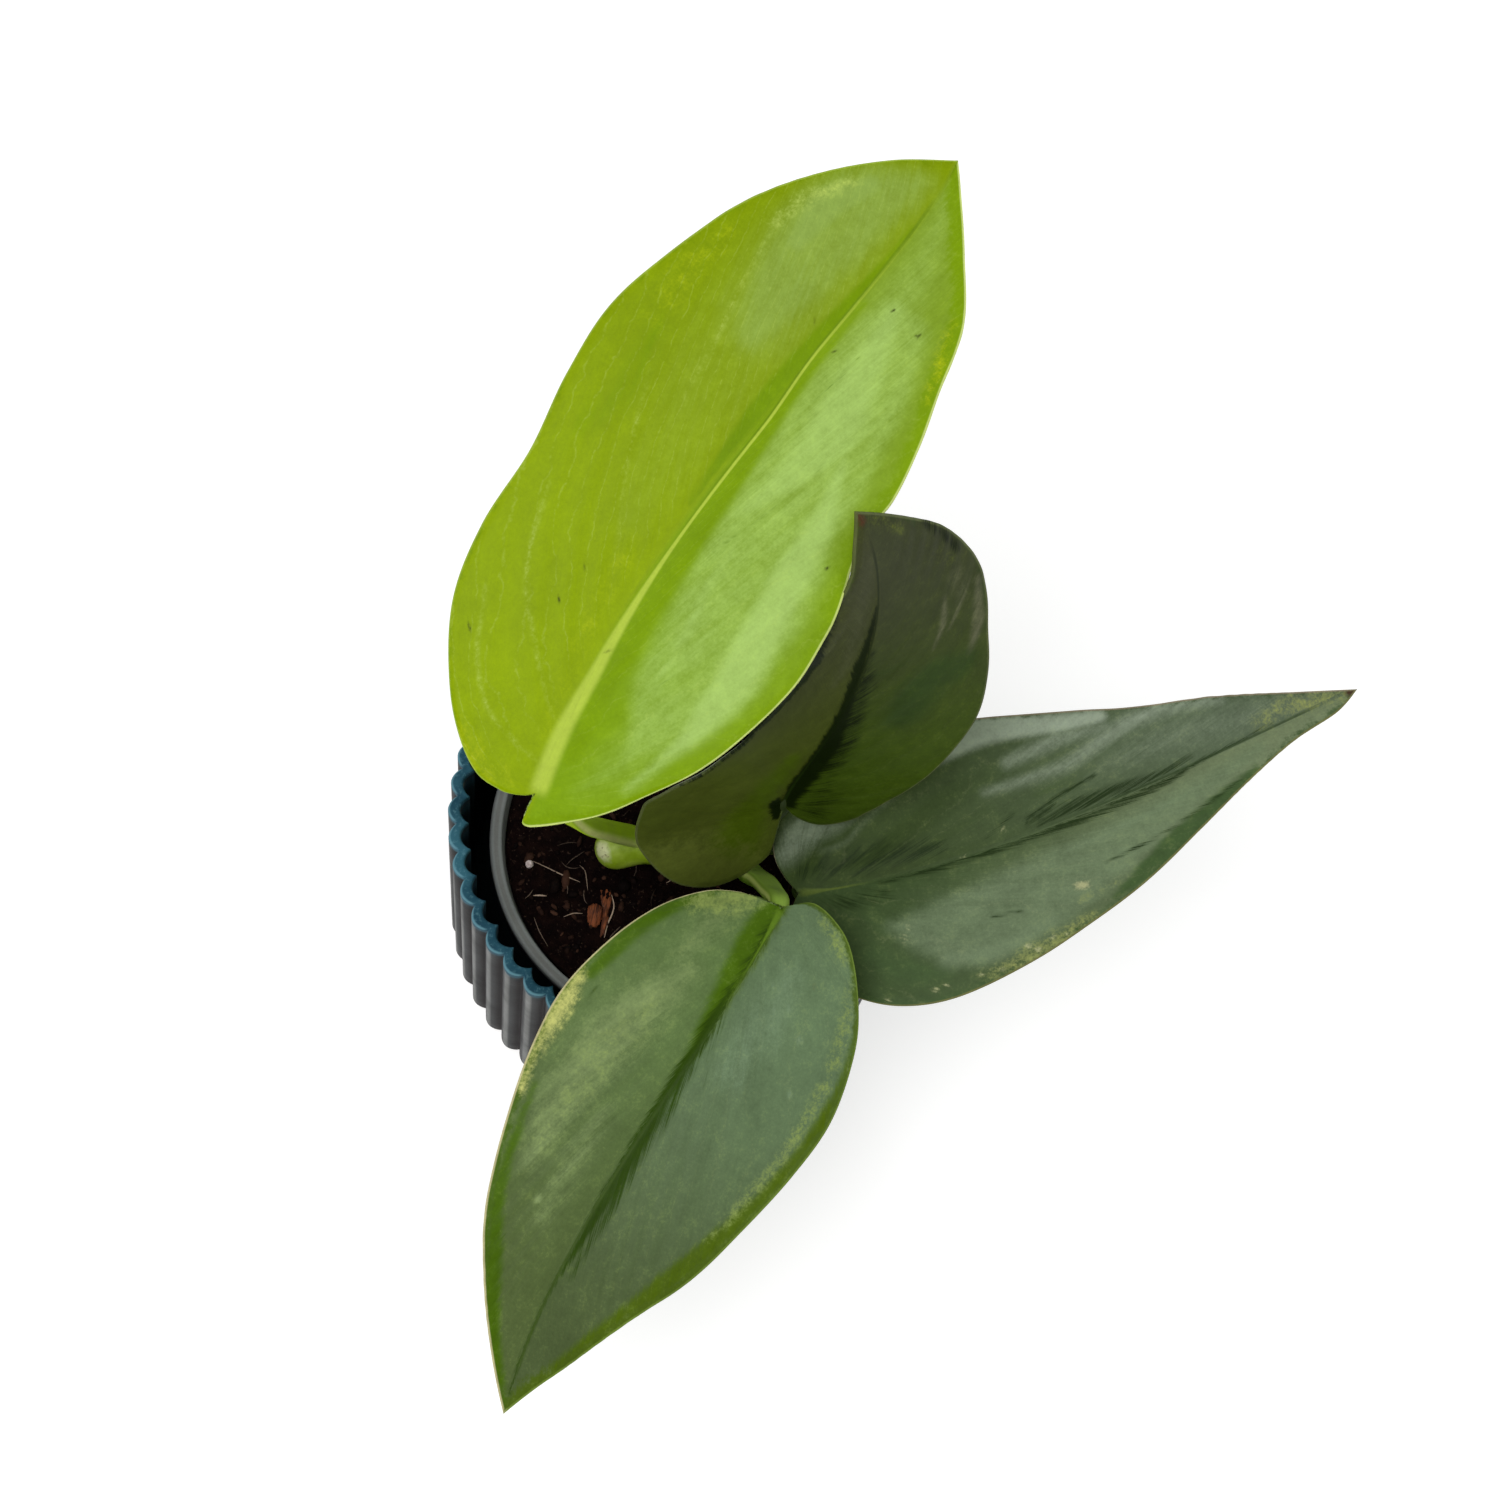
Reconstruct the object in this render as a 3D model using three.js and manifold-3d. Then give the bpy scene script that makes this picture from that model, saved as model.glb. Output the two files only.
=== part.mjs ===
// A young potted moonlight scindapsus: four leaves on short petioles round a piece of vine,
// in a soft grow pot that stands inside a fluted outer pot.
// Millimetres, +Z up. The origin is the centre of the outer pot's base, on the table.

import * as THREE from 'three';
import { mergeVertices } from 'three/addons/utils/BufferGeometryUtils.js';
import Module from 'manifold-3d';

const wasm = await Module();
wasm.setup();

const GAP = 0.3;
const MERGE_REACH = 1e-4;

const OUTER_POT = {
  height: 50,
  bulgeRadius: 35.5,
  valleyRadius: 34.2,
  baseScale: 0.985,
  wall: 1.8,
  floor: 2,
  lip: 0.5,
  flutes: 50,
  firstBulge: 3.085,
  bulgePower: 0.8,
  samplesPerFlute: 6,
};

const GROW_POT = {
  offsetX: 0.8,
  rimRadius: 30,
  rimInnerRadius: 28.1,
  rimTop: 39,
  rimDepth: 3,
  rimSlope: 0.6,
  lip: 0.4,
  wall: 1.2,
  bottomRadius: 23,
  floor: 1.5,
  sides: 60,
};

const SOIL = {
  top: 36.4,
  moundHeight: 0.45,
  moundPace: [0.31, 0.27],
  moundShift: [0.8, -0.4],
  rings: 5,
  sides: 48,
};

const VINE = {
  path: [[-9.5, -4.3, 41.3], [-5, -3.2, 41.8], [2, -2, 42], [6, -1.4, 42.2], [8.5, -1.2, 42.3]],
  radius: 2.7,
  nodeRadius: 3.3,
  tipRadius: 2.9,
  foot: [2, -2],
  footRadius: 2,
  footBottom: 22,
  footSides: 20,
  stations: 10,
  ballSides: 16,
  ballRings: 12,
};

const BLADE = {
  thickness: 0.7,
  cellsAcross: 4,
  lobeStations: 9,
  bodyStations: 20,
  outlineSamples: 400,
  ribFootShift: 0.5,
  frameReach: 14,
  normalStep: 0.05,
  flatNearRib: 0.2,
  leastCurl: 1e-4,
};

const PETIOLE = {
  sides: 10,
  stations: 9,
  channel: 0.75,
};

const MIDRIB = {
  stations: 10,
  start: 3,
  bendAt: 1.5,
  length: 0.93,
  width: 1.05,
  depth: 0.8,
  tip: 0.3,
};

// Each leaf: four Bezier points of its rib, the way the blade faces at the joint and at the tip
// (compass angle and height in degrees), the fold of both halves along the rib in degrees at the
// joint and the tip, the curl of each half in degrees over halfWidth, and both outlines as
// distances along the rib and away from it. The petiole runs from the vine up to the joint.
const LEAVES = {
  leaf_new: {
    colour: 0x8fb22e,
    rib: [[-19.5, -21.5, 114], [-14, 17.5, 127], [11, 47, 137], [15, 68.5, 136]],
    facing: [[-105, 66], [-110, 80]],
    halfWidth: 24,
    fold: { left: [8, 6], right: [12, 10] },
    curl: { left: -8, right: -6 },
    outline: {
      left: [
        [0, 0], [-1.5, 4.5], [-0.5, 8], [2.5, 11.5], [8, 15.5], [17, 20], [26, 21.5], [36, 21.5],
        [46, 23.5], [56, 24.5], [67.5, 22.5], [78, 19.5], [88, 14], [95, 7.5], [99.7, 0],
      ],
      right: [
        [0, 0], [-2, 0.3], [-4, 0.2], [-4.5, 1], [-2.5, 4], [0.5, 9], [4.5, 13], [11.5, 18.5],
        [20, 22], [29, 24], [37, 24], [43, 23], [47, 21.5], [52, 20], [57.5, 20], [65, 18.5],
        [72, 16], [80.5, 13], [88, 7.5], [94.5, 3], [99.7, 0],
      ],
    },
    petiole: {
      path: [
        [-7.7, -2.6, 42.5], [-12.1, -6.4, 55], [-15.1, -10.3, 68], [-17.6, -15.4, 88],
        [-19.2, -19.6, 106],
      ],
      width: [2.3, 1.6],
      depth: [1.9, 1.3],
      wing: 0.5,
    },
  },
  leaf_middle: {
    colour: 0x3c4a24,
    rib: [[13, 2, 61.5], [12.3, 3.1, 65.2], [27, 10.5, 114.5], [11.7, 16.2, 137.7]],
    facing: [[-55, 40], [-6, 36]],
    halfWidth: 22,
    fold: { left: [4, -13], right: [25, 12] },
    curl: { left: 0, right: 0 },
    outline: {
      left: [
        [0, 0], [-4, 1.5], [-8, 2], [-11.5, 3], [-13.5, 7], [-13.5, 11.5], [-11, 16], [-7, 19.5],
        [-1, 22.5], [8, 25.5], [20, 27], [33, 26.5], [45, 24.5], [55, 21], [61, 16], [65, 10.5],
        [68, 6], [70, 3.3], [72, 2.4], [75, 1.5], [79.1, 0],
      ],
      right: [
        [0, 0], [-3, 1.5], [-4.7, 5], [-3, 9], [1, 12.5], [7, 15], [14, 17], [20.5, 19], [27, 20.5],
        [34, 20.3], [42, 19], [50, 18], [56, 16.3], [63.5, 12.3], [70, 7.2], [79.1, 0],
      ],
    },
    petiole: {
      path: [[8.8, -0.9, 42.5], [10.4, 0.4, 48.5], [11.8, 1.4, 54.5], [12.8, 1.9, 59.5]],
      width: [1.9, 1.3],
      depth: [1.6, 1.1],
      wing: 0.3,
    },
  },
  leaf_right: {
    colour: 0x54644a,
    rib: [[18.5, -7.5, 50], [44.5, -1, 60], [71.5, 22, 65], [93.5, 40.5, 59]],
    facing: [[-90, 88], [-80, 86]],
    halfWidth: 21,
    fold: { left: [5, 5], right: [5, 5] },
    curl: { left: -12, right: -8 },
    outline: {
      left: [
        [0, 0], [-2, 2.7], [-3.3, 6.5], [-2.3, 12.4], [4, 17.2], [13, 20.3], [24, 20.8], [35, 18.8],
        [49, 14.5], [58, 11.3], [70, 7.8], [82, 3.3], [91.3, 0],
      ],
      right: [
        [0, 0], [-1.5, 3], [-2, 8], [1, 13], [6.5, 16.8], [12, 19], [19, 19.3], [29.5, 17.6],
        [38, 15.7], [48, 13], [58.5, 9.1], [68.4, 5.6], [77.6, 3.1], [86.3, 1.9], [91.3, 0],
      ],
    },
    petiole: {
      path: [[9, -1, 42.3], [13, 1.2, 43.2], [17, 0, 45.2], [18.8, -3.6, 47.4], [18.7, -6.6, 48.9]],
      width: [1.9, 1.4],
      depth: [1.6, 1.2],
      wing: 0.2,
    },
  },
  leaf_front: {
    colour: 0x66764e,
    rib: [[16, -14, 62.5], [9, -40.5, 61.5], [-6, -65, 55.5], [-6.5, -89.5, 39.5]],
    facing: [[-95, 74], [-95, 62]],
    halfWidth: 21,
    fold: { left: [6, 6], right: [6, 6] },
    curl: { left: -14, right: -14 },
    outline: {
      left: [
        [0, 0], [-1, 1], [-2.8, 3.8], [-2, 7.6], [0.5, 11.5], [6.8, 16.4], [13, 19.5], [22, 22],
        [31.6, 21.8], [42, 20], [52.6, 17], [62, 12.5], [72.2, 7.2], [78, 3.5], [83.5, 0],
      ],
      right: [
        [0, 0], [0.5, 3], [1.1, 6.5], [3.6, 11], [9, 15.5], [17, 18.8], [26.8, 20.6], [36, 19.7],
        [45.5, 17.3], [57.4, 13.4], [66, 9.1], [75, 4.3], [83.5, 0],
      ],
    },
    petiole: {
      path: [[8, -2, 42.2], [10.6, -4.4, 44.4], [12.7, -6.5, 48.8], [14.4, -9.7, 54.8], [15.5, -12.4, 60]],
      width: [2.8, 1.2],
      depth: [1.7, 1.2],
      wing: 0.5,
    },
  },
};

const vector = ([x, y, z]) => new THREE.Vector3(x, y, z);
const mix = THREE.MathUtils.lerp;
const radians = THREE.MathUtils.degToRad;

// Unit vector of a compass angle from +X and a height above the horizon, both in degrees.
function aim([compass, height]) {
  const around = radians(compass);
  const up = radians(height);
  return new THREE.Vector3(Math.cos(up) * Math.cos(around), Math.cos(up) * Math.sin(around), Math.sin(up));
}

// One closed indexed geometry of a list of triangles, with corners that meet merged.
function closedGeometry(triangles) {
  const positions = triangles.flat().flatMap((corner) => corner.toArray());
  const loose = new THREE.BufferGeometry();
  loose.setAttribute('position', new THREE.Float32BufferAttribute(positions, 3));
  const merged = mergeVertices(loose, MERGE_REACH);
  const index = Array.from(merged.index.array);
  const kept = [];
  for (let i = 0; i < index.length; i += 3) {
    const [a, b, c] = index.slice(i, i + 3);
    if (a !== b && b !== c && c !== a) {
      kept.push(a, b, c);
    }
  }
  merged.setIndex(kept);
  return merged;
}

// The triangles between two rows of points: they face out where the lower row runs
// anticlockwise seen from above.
function strip(lower, upper, closed) {
  const triangles = [];
  const count = lower.length;
  const last = closed ? count : count - 1;
  for (let i = 0; i < last; i += 1) {
    const next = (i + 1) % count;
    triangles.push([lower[i], lower[next], upper[next]], [lower[i], upper[next], upper[i]]);
  }
  return triangles;
}

// The triangles from a ring of points to one centre point.
function fan(ring, centre) {
  return ring.map((point, i) => [centre, point, ring[(i + 1) % ring.length]]);
}

const flipped = (triangles) => triangles.map(([a, b, c]) => [a, c, b]);

function toManifold(geometry) {
  const triVerts = Uint32Array.from(geometry.index.array);
  const vertProperties = Float32Array.from(geometry.attributes.position.array);
  return new wasm.Manifold(new wasm.Mesh({ numProp: 3, vertProperties, triVerts }));
}

function fromManifold(solid) {
  const mesh = solid.getMesh();
  const geometry = new THREE.BufferGeometry();
  geometry.setAttribute('position', new THREE.Float32BufferAttribute(mesh.vertProperties, 3));
  geometry.setIndex(Array.from(mesh.triVerts));
  return geometry;
}

// A solid swept along stations. Each station has its place, its upper side and a half section
// of width and depth, with the upper side sunk to a channel and the edges raised as wings.
function sweptSolid(stations) {
  const rings = stations.map((station, i) => {
    const before = stations[Math.max(0, i - 1)].place;
    const after = stations[Math.min(stations.length - 1, i + 1)].place;
    const along = after.clone().sub(before).normalize();
    const across = new THREE.Vector3().crossVectors(station.up, along).normalize();
    const up = new THREE.Vector3().crossVectors(along, across);
    const ring = [];
    for (let k = 0; k < PETIOLE.sides; k += 1) {
      const angle = (2 * Math.PI * k) / PETIOLE.sides;
      const rise = Math.sin(angle) * (1 - station.channel * Math.max(0, Math.sin(angle)));
      const lift = station.wing * Math.cos(angle) ** 2;
      ring.push(station.place.clone()
        .addScaledVector(across, station.width * Math.cos(angle))
        .addScaledVector(up, station.depth * rise + lift));
    }
    return ring;
  });
  const first = rings[0];
  const last = rings[rings.length - 1];
  const triangles = rings.slice(1).flatMap((ring, i) => strip(rings[i], ring, true));
  const start = stations[0].place;
  const end = stations[stations.length - 1].place;
  triangles.push(...flipped(fan(first, start)), ...fan(last, end));
  return closedGeometry(triangles);
}

// Unit tangents of a row of points.
function tangents(points) {
  return points.map((_, i) => {
    const before = points[Math.max(0, i - 1)];
    const after = points[Math.min(points.length - 1, i + 1)];
    return after.clone().sub(before).normalize();
  });
}

// Carries a side vector back along a row of points without twisting it.
function carriedBack(points, lastUp) {
  const runs = tangents(points);
  const ups = new Array(points.length);
  ups[points.length - 1] = lastUp.clone();
  for (let i = points.length - 2; i >= 0; i -= 1) {
    const turn = new THREE.Quaternion().setFromUnitVectors(runs[i + 1], runs[i]);
    ups[i] = ups[i + 1].clone().applyQuaternion(turn);
  }
  return ups;
}

class Blade {
  constructor(leaf) {
    this.leaf = leaf;
    this.curve = new THREE.CubicBezierCurve3(...leaf.rib.map(vector));
    this.curve.arcLengthDivisions = BLADE.outlineSamples;
    this.length = this.curve.getLength();
    this.startRun = this.curve.getTangent(0);
    this.endRun = this.curve.getTangent(1);
    this.faces = leaf.facing.map(aim);
  }

  share(along) {
    return THREE.MathUtils.clamp(along / this.length, 0, 1);
  }

  // The rib's point at a distance from the joint, straight on past both ends.
  rib(along) {
    const point = this.curve.getPointAt(this.share(along));
    point.addScaledVector(this.startRun, Math.min(along, 0));
    return point.addScaledVector(this.endRun, Math.max(along - this.length, 0));
  }

  frame(along) {
    const reach = BLADE.frameReach;
    const run = this.rib(along + reach).sub(this.rib(along - reach)).normalize();
    const face = this.faces[0].clone().lerp(this.faces[1], this.share(along)).normalize();
    const left = new THREE.Vector3().crossVectors(face, run).normalize();
    const up = new THREE.Vector3().crossVectors(run, left);
    return { left, up };
  }

  // The blade's middle surface: `away` is measured along it, on the given side of the rib.
  point(along, away, side) {
    const { left, up } = this.frame(along);
    const [foldStart, foldEnd] = this.leaf.fold[side];
    const fold = radians(mix(foldStart, foldEnd, this.share(along)));
    const bend = radians(this.leaf.curl[side] || BLADE.leastCurl) / this.leaf.halfWidth;
    const turned = fold + bend * away;
    const out = (Math.sin(turned) - Math.sin(fold)) / bend;
    const rise = (Math.cos(fold) - Math.cos(turned)) / bend;
    const sign = side === 'left' ? 1 : -1;
    return this.rib(along).addScaledVector(left, sign * out).addScaledVector(up, rise);
  }

  normal(along, away, side) {
    if (away < BLADE.flatNearRib) {
      return this.frame(along).up;
    }
    const step = BLADE.normalStep;
    const lengthwise = this.point(along + step, away, side).sub(this.point(along - step, away, side));
    const outwards = this.point(along, away + step, side).sub(this.point(along, away - step, side));
    const normal = new THREE.Vector3().crossVectors(lengthwise, outwards).normalize();
    return side === 'left' ? normal : normal.negate();
  }

  // Stations round one half of the margin: some round the basal lobe, which fan out from the joint,
  // then one for each of the feet that both halves share along the rib.
  stations(side) {
    const points = this.leaf.outline[side].map(([x, y]) => new THREE.Vector2(x, y));
    const fine = BLADE.outlineSamples;
    const margin = new THREE.SplineCurve(points).getPoints(fine);
    const stretch = this.length / margin[fine].x;
    let reached = 0;
    const feet = margin.map((edge) => {
      reached = Math.max(reached, edge.x - BLADE.ribFootShift * Math.abs(edge.y));
      return reached * stretch;
    });
    const station = (place, foot) => {
      const below = Math.min(Math.floor(place), fine - 1);
      const edge = margin[below].clone().lerp(margin[below + 1], place - below);
      return { foot, along: edge.x * stretch, away: Math.max(edge.y, 0) };
    };
    const lobeEnd = feet.findIndex((foot) => foot > 0) - 1;
    const stations = [];
    for (let i = 0; i <= BLADE.lobeStations; i += 1) {
      stations.push(station((lobeEnd * i) / BLADE.lobeStations, 0));
    }
    for (let i = 1; i < BLADE.bodyStations; i += 1) {
      const foot = (this.length * i) / BLADE.bodyStations;
      const above = feet.findIndex((value) => value >= foot);
      const share = (foot - feet[above - 1]) / (feet[above] - feet[above - 1]);
      stations.push(station(above - 1 + share, foot));
    }
    stations.push({ foot: this.length, along: this.length, away: 0 });
    return stations;
  }

  // Rows of the blade's grid on one side, from the rib out to the margin, on one face.
  rows(side, offset) {
    const stations = this.stations(side);
    const rows = [];
    for (let row = 0; row <= BLADE.cellsAcross; row += 1) {
      const share = row / BLADE.cellsAcross;
      rows.push(stations.map((station) => {
        const along = mix(station.foot, station.along, share);
        const away = station.away * share;
        return this.point(along, away, side).addScaledVector(this.normal(along, away, side), offset);
      }));
    }
    return rows;
  }

  bladeGeometry() {
    const half = BLADE.thickness / 2;
    const triangles = [];
    for (const side of ['left', 'right']) {
      const top = this.rows(side, half);
      const bottom = this.rows(side, -half);
      const sheets = [];
      for (let row = 0; row < BLADE.cellsAcross; row += 1) {
        sheets.push(...strip(top[row], top[row + 1], false));
        sheets.push(...flipped(strip(bottom[row], bottom[row + 1], false)));
      }
      sheets.push(...strip(top[BLADE.cellsAcross], bottom[BLADE.cellsAcross], false));
      triangles.push(...(side === 'left' ? sheets : flipped(sheets)));
    }
    return closedGeometry(triangles);
  }

  // The petiole with its sheath wings, running on under the blade as the raised midrib.
  stalkGeometry() {
    const { path, width, depth, wing } = this.leaf.petiole;
    const under = (along, drop) => this.rib(along).addScaledVector(this.frame(along).up, -drop);
    const bend = under(MIDRIB.bendAt, MIDRIB.depth);
    const petiole = new THREE.CatmullRomCurve3([...path.map(vector), bend], false, 'catmullrom');
    const places = petiole.getPoints(PETIOLE.stations);
    const ups = carriedBack(places, this.frame(0).up);
    const stations = places.map((place, i) => {
      const share = i / PETIOLE.stations;
      return {
        place,
        up: ups[i],
        width: mix(width[0], width[1], share),
        depth: mix(depth[0], depth[1], share),
        channel: PETIOLE.channel * (1 - share),
        wing: wing * (1 - share),
      };
    });
    stations.pop();
    const reach = MIDRIB.length * this.length;
    for (let i = 0; i <= MIDRIB.stations; i += 1) {
      const share = i / MIDRIB.stations;
      const along = mix(MIDRIB.start, reach, share);
      const halfDepth = mix(MIDRIB.depth, MIDRIB.tip, share);
      stations.push({
        place: under(along, halfDepth),
        up: this.frame(along).up,
        width: mix(MIDRIB.width, MIDRIB.tip, share),
        depth: halfDepth,
        channel: 0,
        wing: 0,
      });
    }
    return sweptSolid(stations);
  }
}

// Radius of the fluted wall at a compass angle: rounded bulges and sharp valleys.
function fluteRadius(angle) {
  const { bulgeRadius, valleyRadius, flutes, firstBulge, bulgePower } = OUTER_POT;
  const wave = Math.abs(Math.cos((flutes / 2) * (angle - firstBulge))) ** bulgePower;
  return mix(valleyRadius, bulgeRadius, wave);
}

function outerPotGeometry() {
  const { height, wall, floor, lip, flutes, samplesPerFlute, baseScale, firstBulge } = OUTER_POT;
  const count = flutes * samplesPerFlute;
  const ring = (z, inset) => {
    const scale = mix(baseScale, 1, z / height);
    return Array.from({ length: count }, (_, i) => {
      const angle = firstBulge + (2 * Math.PI * i) / count;
      const radius = fluteRadius(angle) * scale - inset;
      return new THREE.Vector3(radius * Math.cos(angle), radius * Math.sin(angle), z);
    });
  };
  const rings = [
    ring(0, 0), ring(height - lip, 0), ring(height, lip), ring(height, wall - lip),
    ring(height - lip, wall), ring(floor, wall),
  ];
  const triangles = rings.slice(1).flatMap((upper, i) => strip(rings[i], upper, true));
  triangles.push(...flipped(fan(rings[0], new THREE.Vector3(0, 0, 0))));
  triangles.push(...fan(rings[rings.length - 1], new THREE.Vector3(0, 0, floor)));
  return closedGeometry(triangles);
}

// The grow pot's wall radius at a height, on its inner face.
function growPotInside(z) {
  const bottom = OUTER_POT.floor + GAP;
  const share = (z - bottom) / (GROW_POT.rimTop - bottom);
  return mix(GROW_POT.bottomRadius - GROW_POT.wall, GROW_POT.rimInnerRadius, share);
}

function growPotGeometry() {
  const { rimRadius, rimInnerRadius, rimTop, rimDepth, rimSlope, lip } = GROW_POT;
  const { wall, bottomRadius, floor, sides } = GROW_POT;
  const bottom = OUTER_POT.floor + GAP;
  const underRim = rimTop - rimDepth;
  const profile = [
    [0, bottom],
    [bottomRadius, bottom],
    [growPotInside(underRim) + wall, underRim],
    [rimRadius, underRim + rimSlope],
    [rimRadius, rimTop - lip],
    [rimRadius - lip, rimTop],
    [rimInnerRadius + lip, rimTop],
    [rimInnerRadius, rimTop - lip],
    [growPotInside(bottom + floor), bottom + floor],
    [0, bottom + floor],
  ];
  const lathe = new THREE.LatheGeometry(profile.map(([x, y]) => new THREE.Vector2(x, y)), sides);
  lathe.rotateX(Math.PI / 2);
  return lathe;
}

function cleaned(geometry) {
  geometry.deleteAttribute('normal');
  geometry.deleteAttribute('uv');
  return mergeVertices(geometry, MERGE_REACH);
}

function soilSurface(x, y) {
  const [paceX, paceY] = SOIL.moundPace;
  const [shiftX, shiftY] = SOIL.moundShift;
  const rolling = Math.sin(paceX * x + shiftX) * Math.cos(paceY * y + shiftY);
  const edge = Math.hypot(x, y) / GROW_POT.rimInnerRadius;
  return SOIL.top + SOIL.moundHeight * rolling * (1 - edge ** 4);
}

function soilGeometry() {
  const { sides } = SOIL;
  const bottom = OUTER_POT.floor + 2 * GAP + GROW_POT.floor;
  const topRadius = growPotInside(SOIL.top) - GAP;
  const ring = (radius, height) => Array.from({ length: sides }, (_, i) => {
    const angle = (2 * Math.PI * i) / sides;
    const x = radius * Math.cos(angle);
    const y = radius * Math.sin(angle);
    return new THREE.Vector3(x, y, height(x, y));
  });
  const rings = [ring(growPotInside(bottom) - GAP, () => bottom)];
  for (let i = SOIL.rings; i > 0; i -= 1) {
    rings.push(ring((topRadius * i) / SOIL.rings, soilSurface));
  }
  const triangles = rings.slice(1).flatMap((upper, i) => strip(rings[i], upper, true));
  triangles.push(...flipped(fan(rings[0], new THREE.Vector3(0, 0, bottom))));
  triangles.push(...fan(rings[rings.length - 1], new THREE.Vector3(0, 0, soilSurface(0, 0))));
  return closedGeometry(triangles);
}

// The vine piece with both ends rounded, grown by a clearance.
function vineSolid(grow) {
  const curve = new THREE.CatmullRomCurve3(VINE.path.map(vector), false, 'catmullrom');
  const stations = curve.getPoints(VINE.stations).map((place) => ({
    place,
    up: new THREE.Vector3(0, 0, 1),
    width: VINE.radius + grow,
    depth: VINE.radius + grow,
    channel: 0,
    wing: 0,
  }));
  const ball = (centre, radius) => {
    const sphere = new THREE.SphereGeometry(radius + grow, VINE.ballSides, VINE.ballRings);
    sphere.translate(...centre);
    return toManifold(cleaned(sphere));
  };
  const tip = VINE.path[VINE.path.length - 1];
  return toManifold(sweptSolid(stations))
    .add(ball(VINE.path[0], VINE.nodeRadius))
    .add(ball(tip, VINE.tipRadius));
}

function footSolid(grow, bottom, top) {
  const radius = VINE.footRadius + grow;
  const foot = new THREE.CylinderGeometry(radius, radius, top - bottom, VINE.footSides);
  foot.rotateX(Math.PI / 2);
  foot.translate(VINE.foot[0], VINE.foot[1], (top + bottom) / 2);
  return toManifold(cleaned(foot));
}

function mesh(name, geometry, colour, roughness) {
  const material = new THREE.MeshStandardMaterial({ color: colour, roughness, metalness: 0 });
  const piece = new THREE.Mesh(geometry, material);
  piece.name = name;
  return piece;
}

const plant = new THREE.Group();
plant.add(mesh('outer_pot', outerPotGeometry(), 0x4f5a5e, 0.35));

const growPot = new THREE.Group();
growPot.position.x = GROW_POT.offsetX;
growPot.add(mesh('grow_pot', cleaned(growPotGeometry()), 0x46484a, 0.5));
plant.add(growPot);

const vineMiddle = VINE.path[2][2];
const footHole = footSolid(GAP, VINE.footBottom - GAP, vineMiddle);
const soil = toManifold(soilGeometry().translate(GROW_POT.offsetX, 0, 0)).subtract(footHole);
plant.add(mesh('soil', fromManifold(soil), 0x24160f, 0.95));

const vine = vineSolid(0).add(footSolid(0, VINE.footBottom, vineMiddle));
plant.add(mesh('vine', fromManifold(vine), 0xa9b44c, 0.6));

const vineRoom = vineSolid(GAP);
for (const [name, leaf] of Object.entries(LEAVES)) {
  const blade = new Blade(leaf);
  const stalk = toManifold(blade.stalkGeometry());
  const solid = toManifold(blade.bladeGeometry()).add(stalk).subtract(vineRoom);
  plant.add(mesh(name, fromManifold(solid), leaf.colour, 0.45));
}

export default plant;
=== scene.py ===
"""Looks of the potted moonlight scindapsus: its four leaves, the vine piece, the soil and both pots.

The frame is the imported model's, with +Z up and the origin at the centre of the outer pot's base.
Sizes in the classes are millimetres, as in the model's source, and meshes are metres.
"""

import bisect
import logging
import math
import random
from dataclasses import dataclass, field
from enum import Enum
from functools import cached_property
from typing import Any, Callable, Mapping, Optional, Sequence, Union

import bmesh
import bpy
from mathutils import Matrix, Vector, noise


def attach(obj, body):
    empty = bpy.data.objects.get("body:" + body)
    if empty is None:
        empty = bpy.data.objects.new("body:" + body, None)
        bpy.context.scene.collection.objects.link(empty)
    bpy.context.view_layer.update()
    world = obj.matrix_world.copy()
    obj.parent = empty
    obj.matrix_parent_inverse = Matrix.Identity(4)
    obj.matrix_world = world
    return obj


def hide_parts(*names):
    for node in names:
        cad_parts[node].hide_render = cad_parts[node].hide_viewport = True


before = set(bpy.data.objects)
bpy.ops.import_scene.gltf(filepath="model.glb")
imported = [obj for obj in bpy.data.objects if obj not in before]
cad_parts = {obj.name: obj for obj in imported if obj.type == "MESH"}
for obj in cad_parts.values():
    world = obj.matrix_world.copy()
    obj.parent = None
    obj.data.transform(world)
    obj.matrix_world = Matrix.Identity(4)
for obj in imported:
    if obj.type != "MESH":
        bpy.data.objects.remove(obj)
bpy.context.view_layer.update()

LOG = logging.getLogger("scindapsus")
MM = 0.001
MERGE = 2e-6
WHITE = (1.0, 1.0, 1.0, 1.0)

Colour = tuple[float, float, float]
Point = tuple[float, float, float]
Flat = tuple[float, float]


class Side(Enum):
    """The two halves of a blade, with the sign of their distance from the rib."""

    LEFT = 1
    RIGHT = -1


def halves(left: Any, right: Any) -> dict[Side, Any]:
    """Returns the values of a blade's two halves."""
    return {Side.LEFT: left, Side.RIGHT: right}


def shade(red: int, green: int, blue: int) -> Colour:
    """Returns a linear colour from the usual screen values of 0 to 255."""
    return tuple(
        part / 12.92 if part <= 0.04045 else ((part + 0.055) / 1.055) ** 2.4
        for part in (red / 255, green / 255, blue / 255)
    )


def mix(start: float, end: float, share: float) -> float:
    """Returns the value at a share of the way from start to end."""
    return start + (end - start) * share


def clamp(value: float, low: float = 0.0, high: float = 1.0) -> float:
    """Returns the value held between two limits."""
    return min(high, max(low, value))


def smooth_step(value: float, low: float, high: float) -> float:
    """Returns 0 below low, 1 above high and a smooth rise between them."""
    share = clamp((value - low) / (high - low))
    return share * share * (3 - 2 * share)


def operator(operation: str, swapped: bool = False) -> Callable[["Value", "Number"], "Value"]:
    """Returns an operator that adds a Math node; a reflected one has its two values swapped."""

    def method(first: "Value", second: "Number") -> "Value":
        """Adds the Math node."""
        return first.maths(operation, *((second, first) if swapped else (first, second)))

    return method


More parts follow.
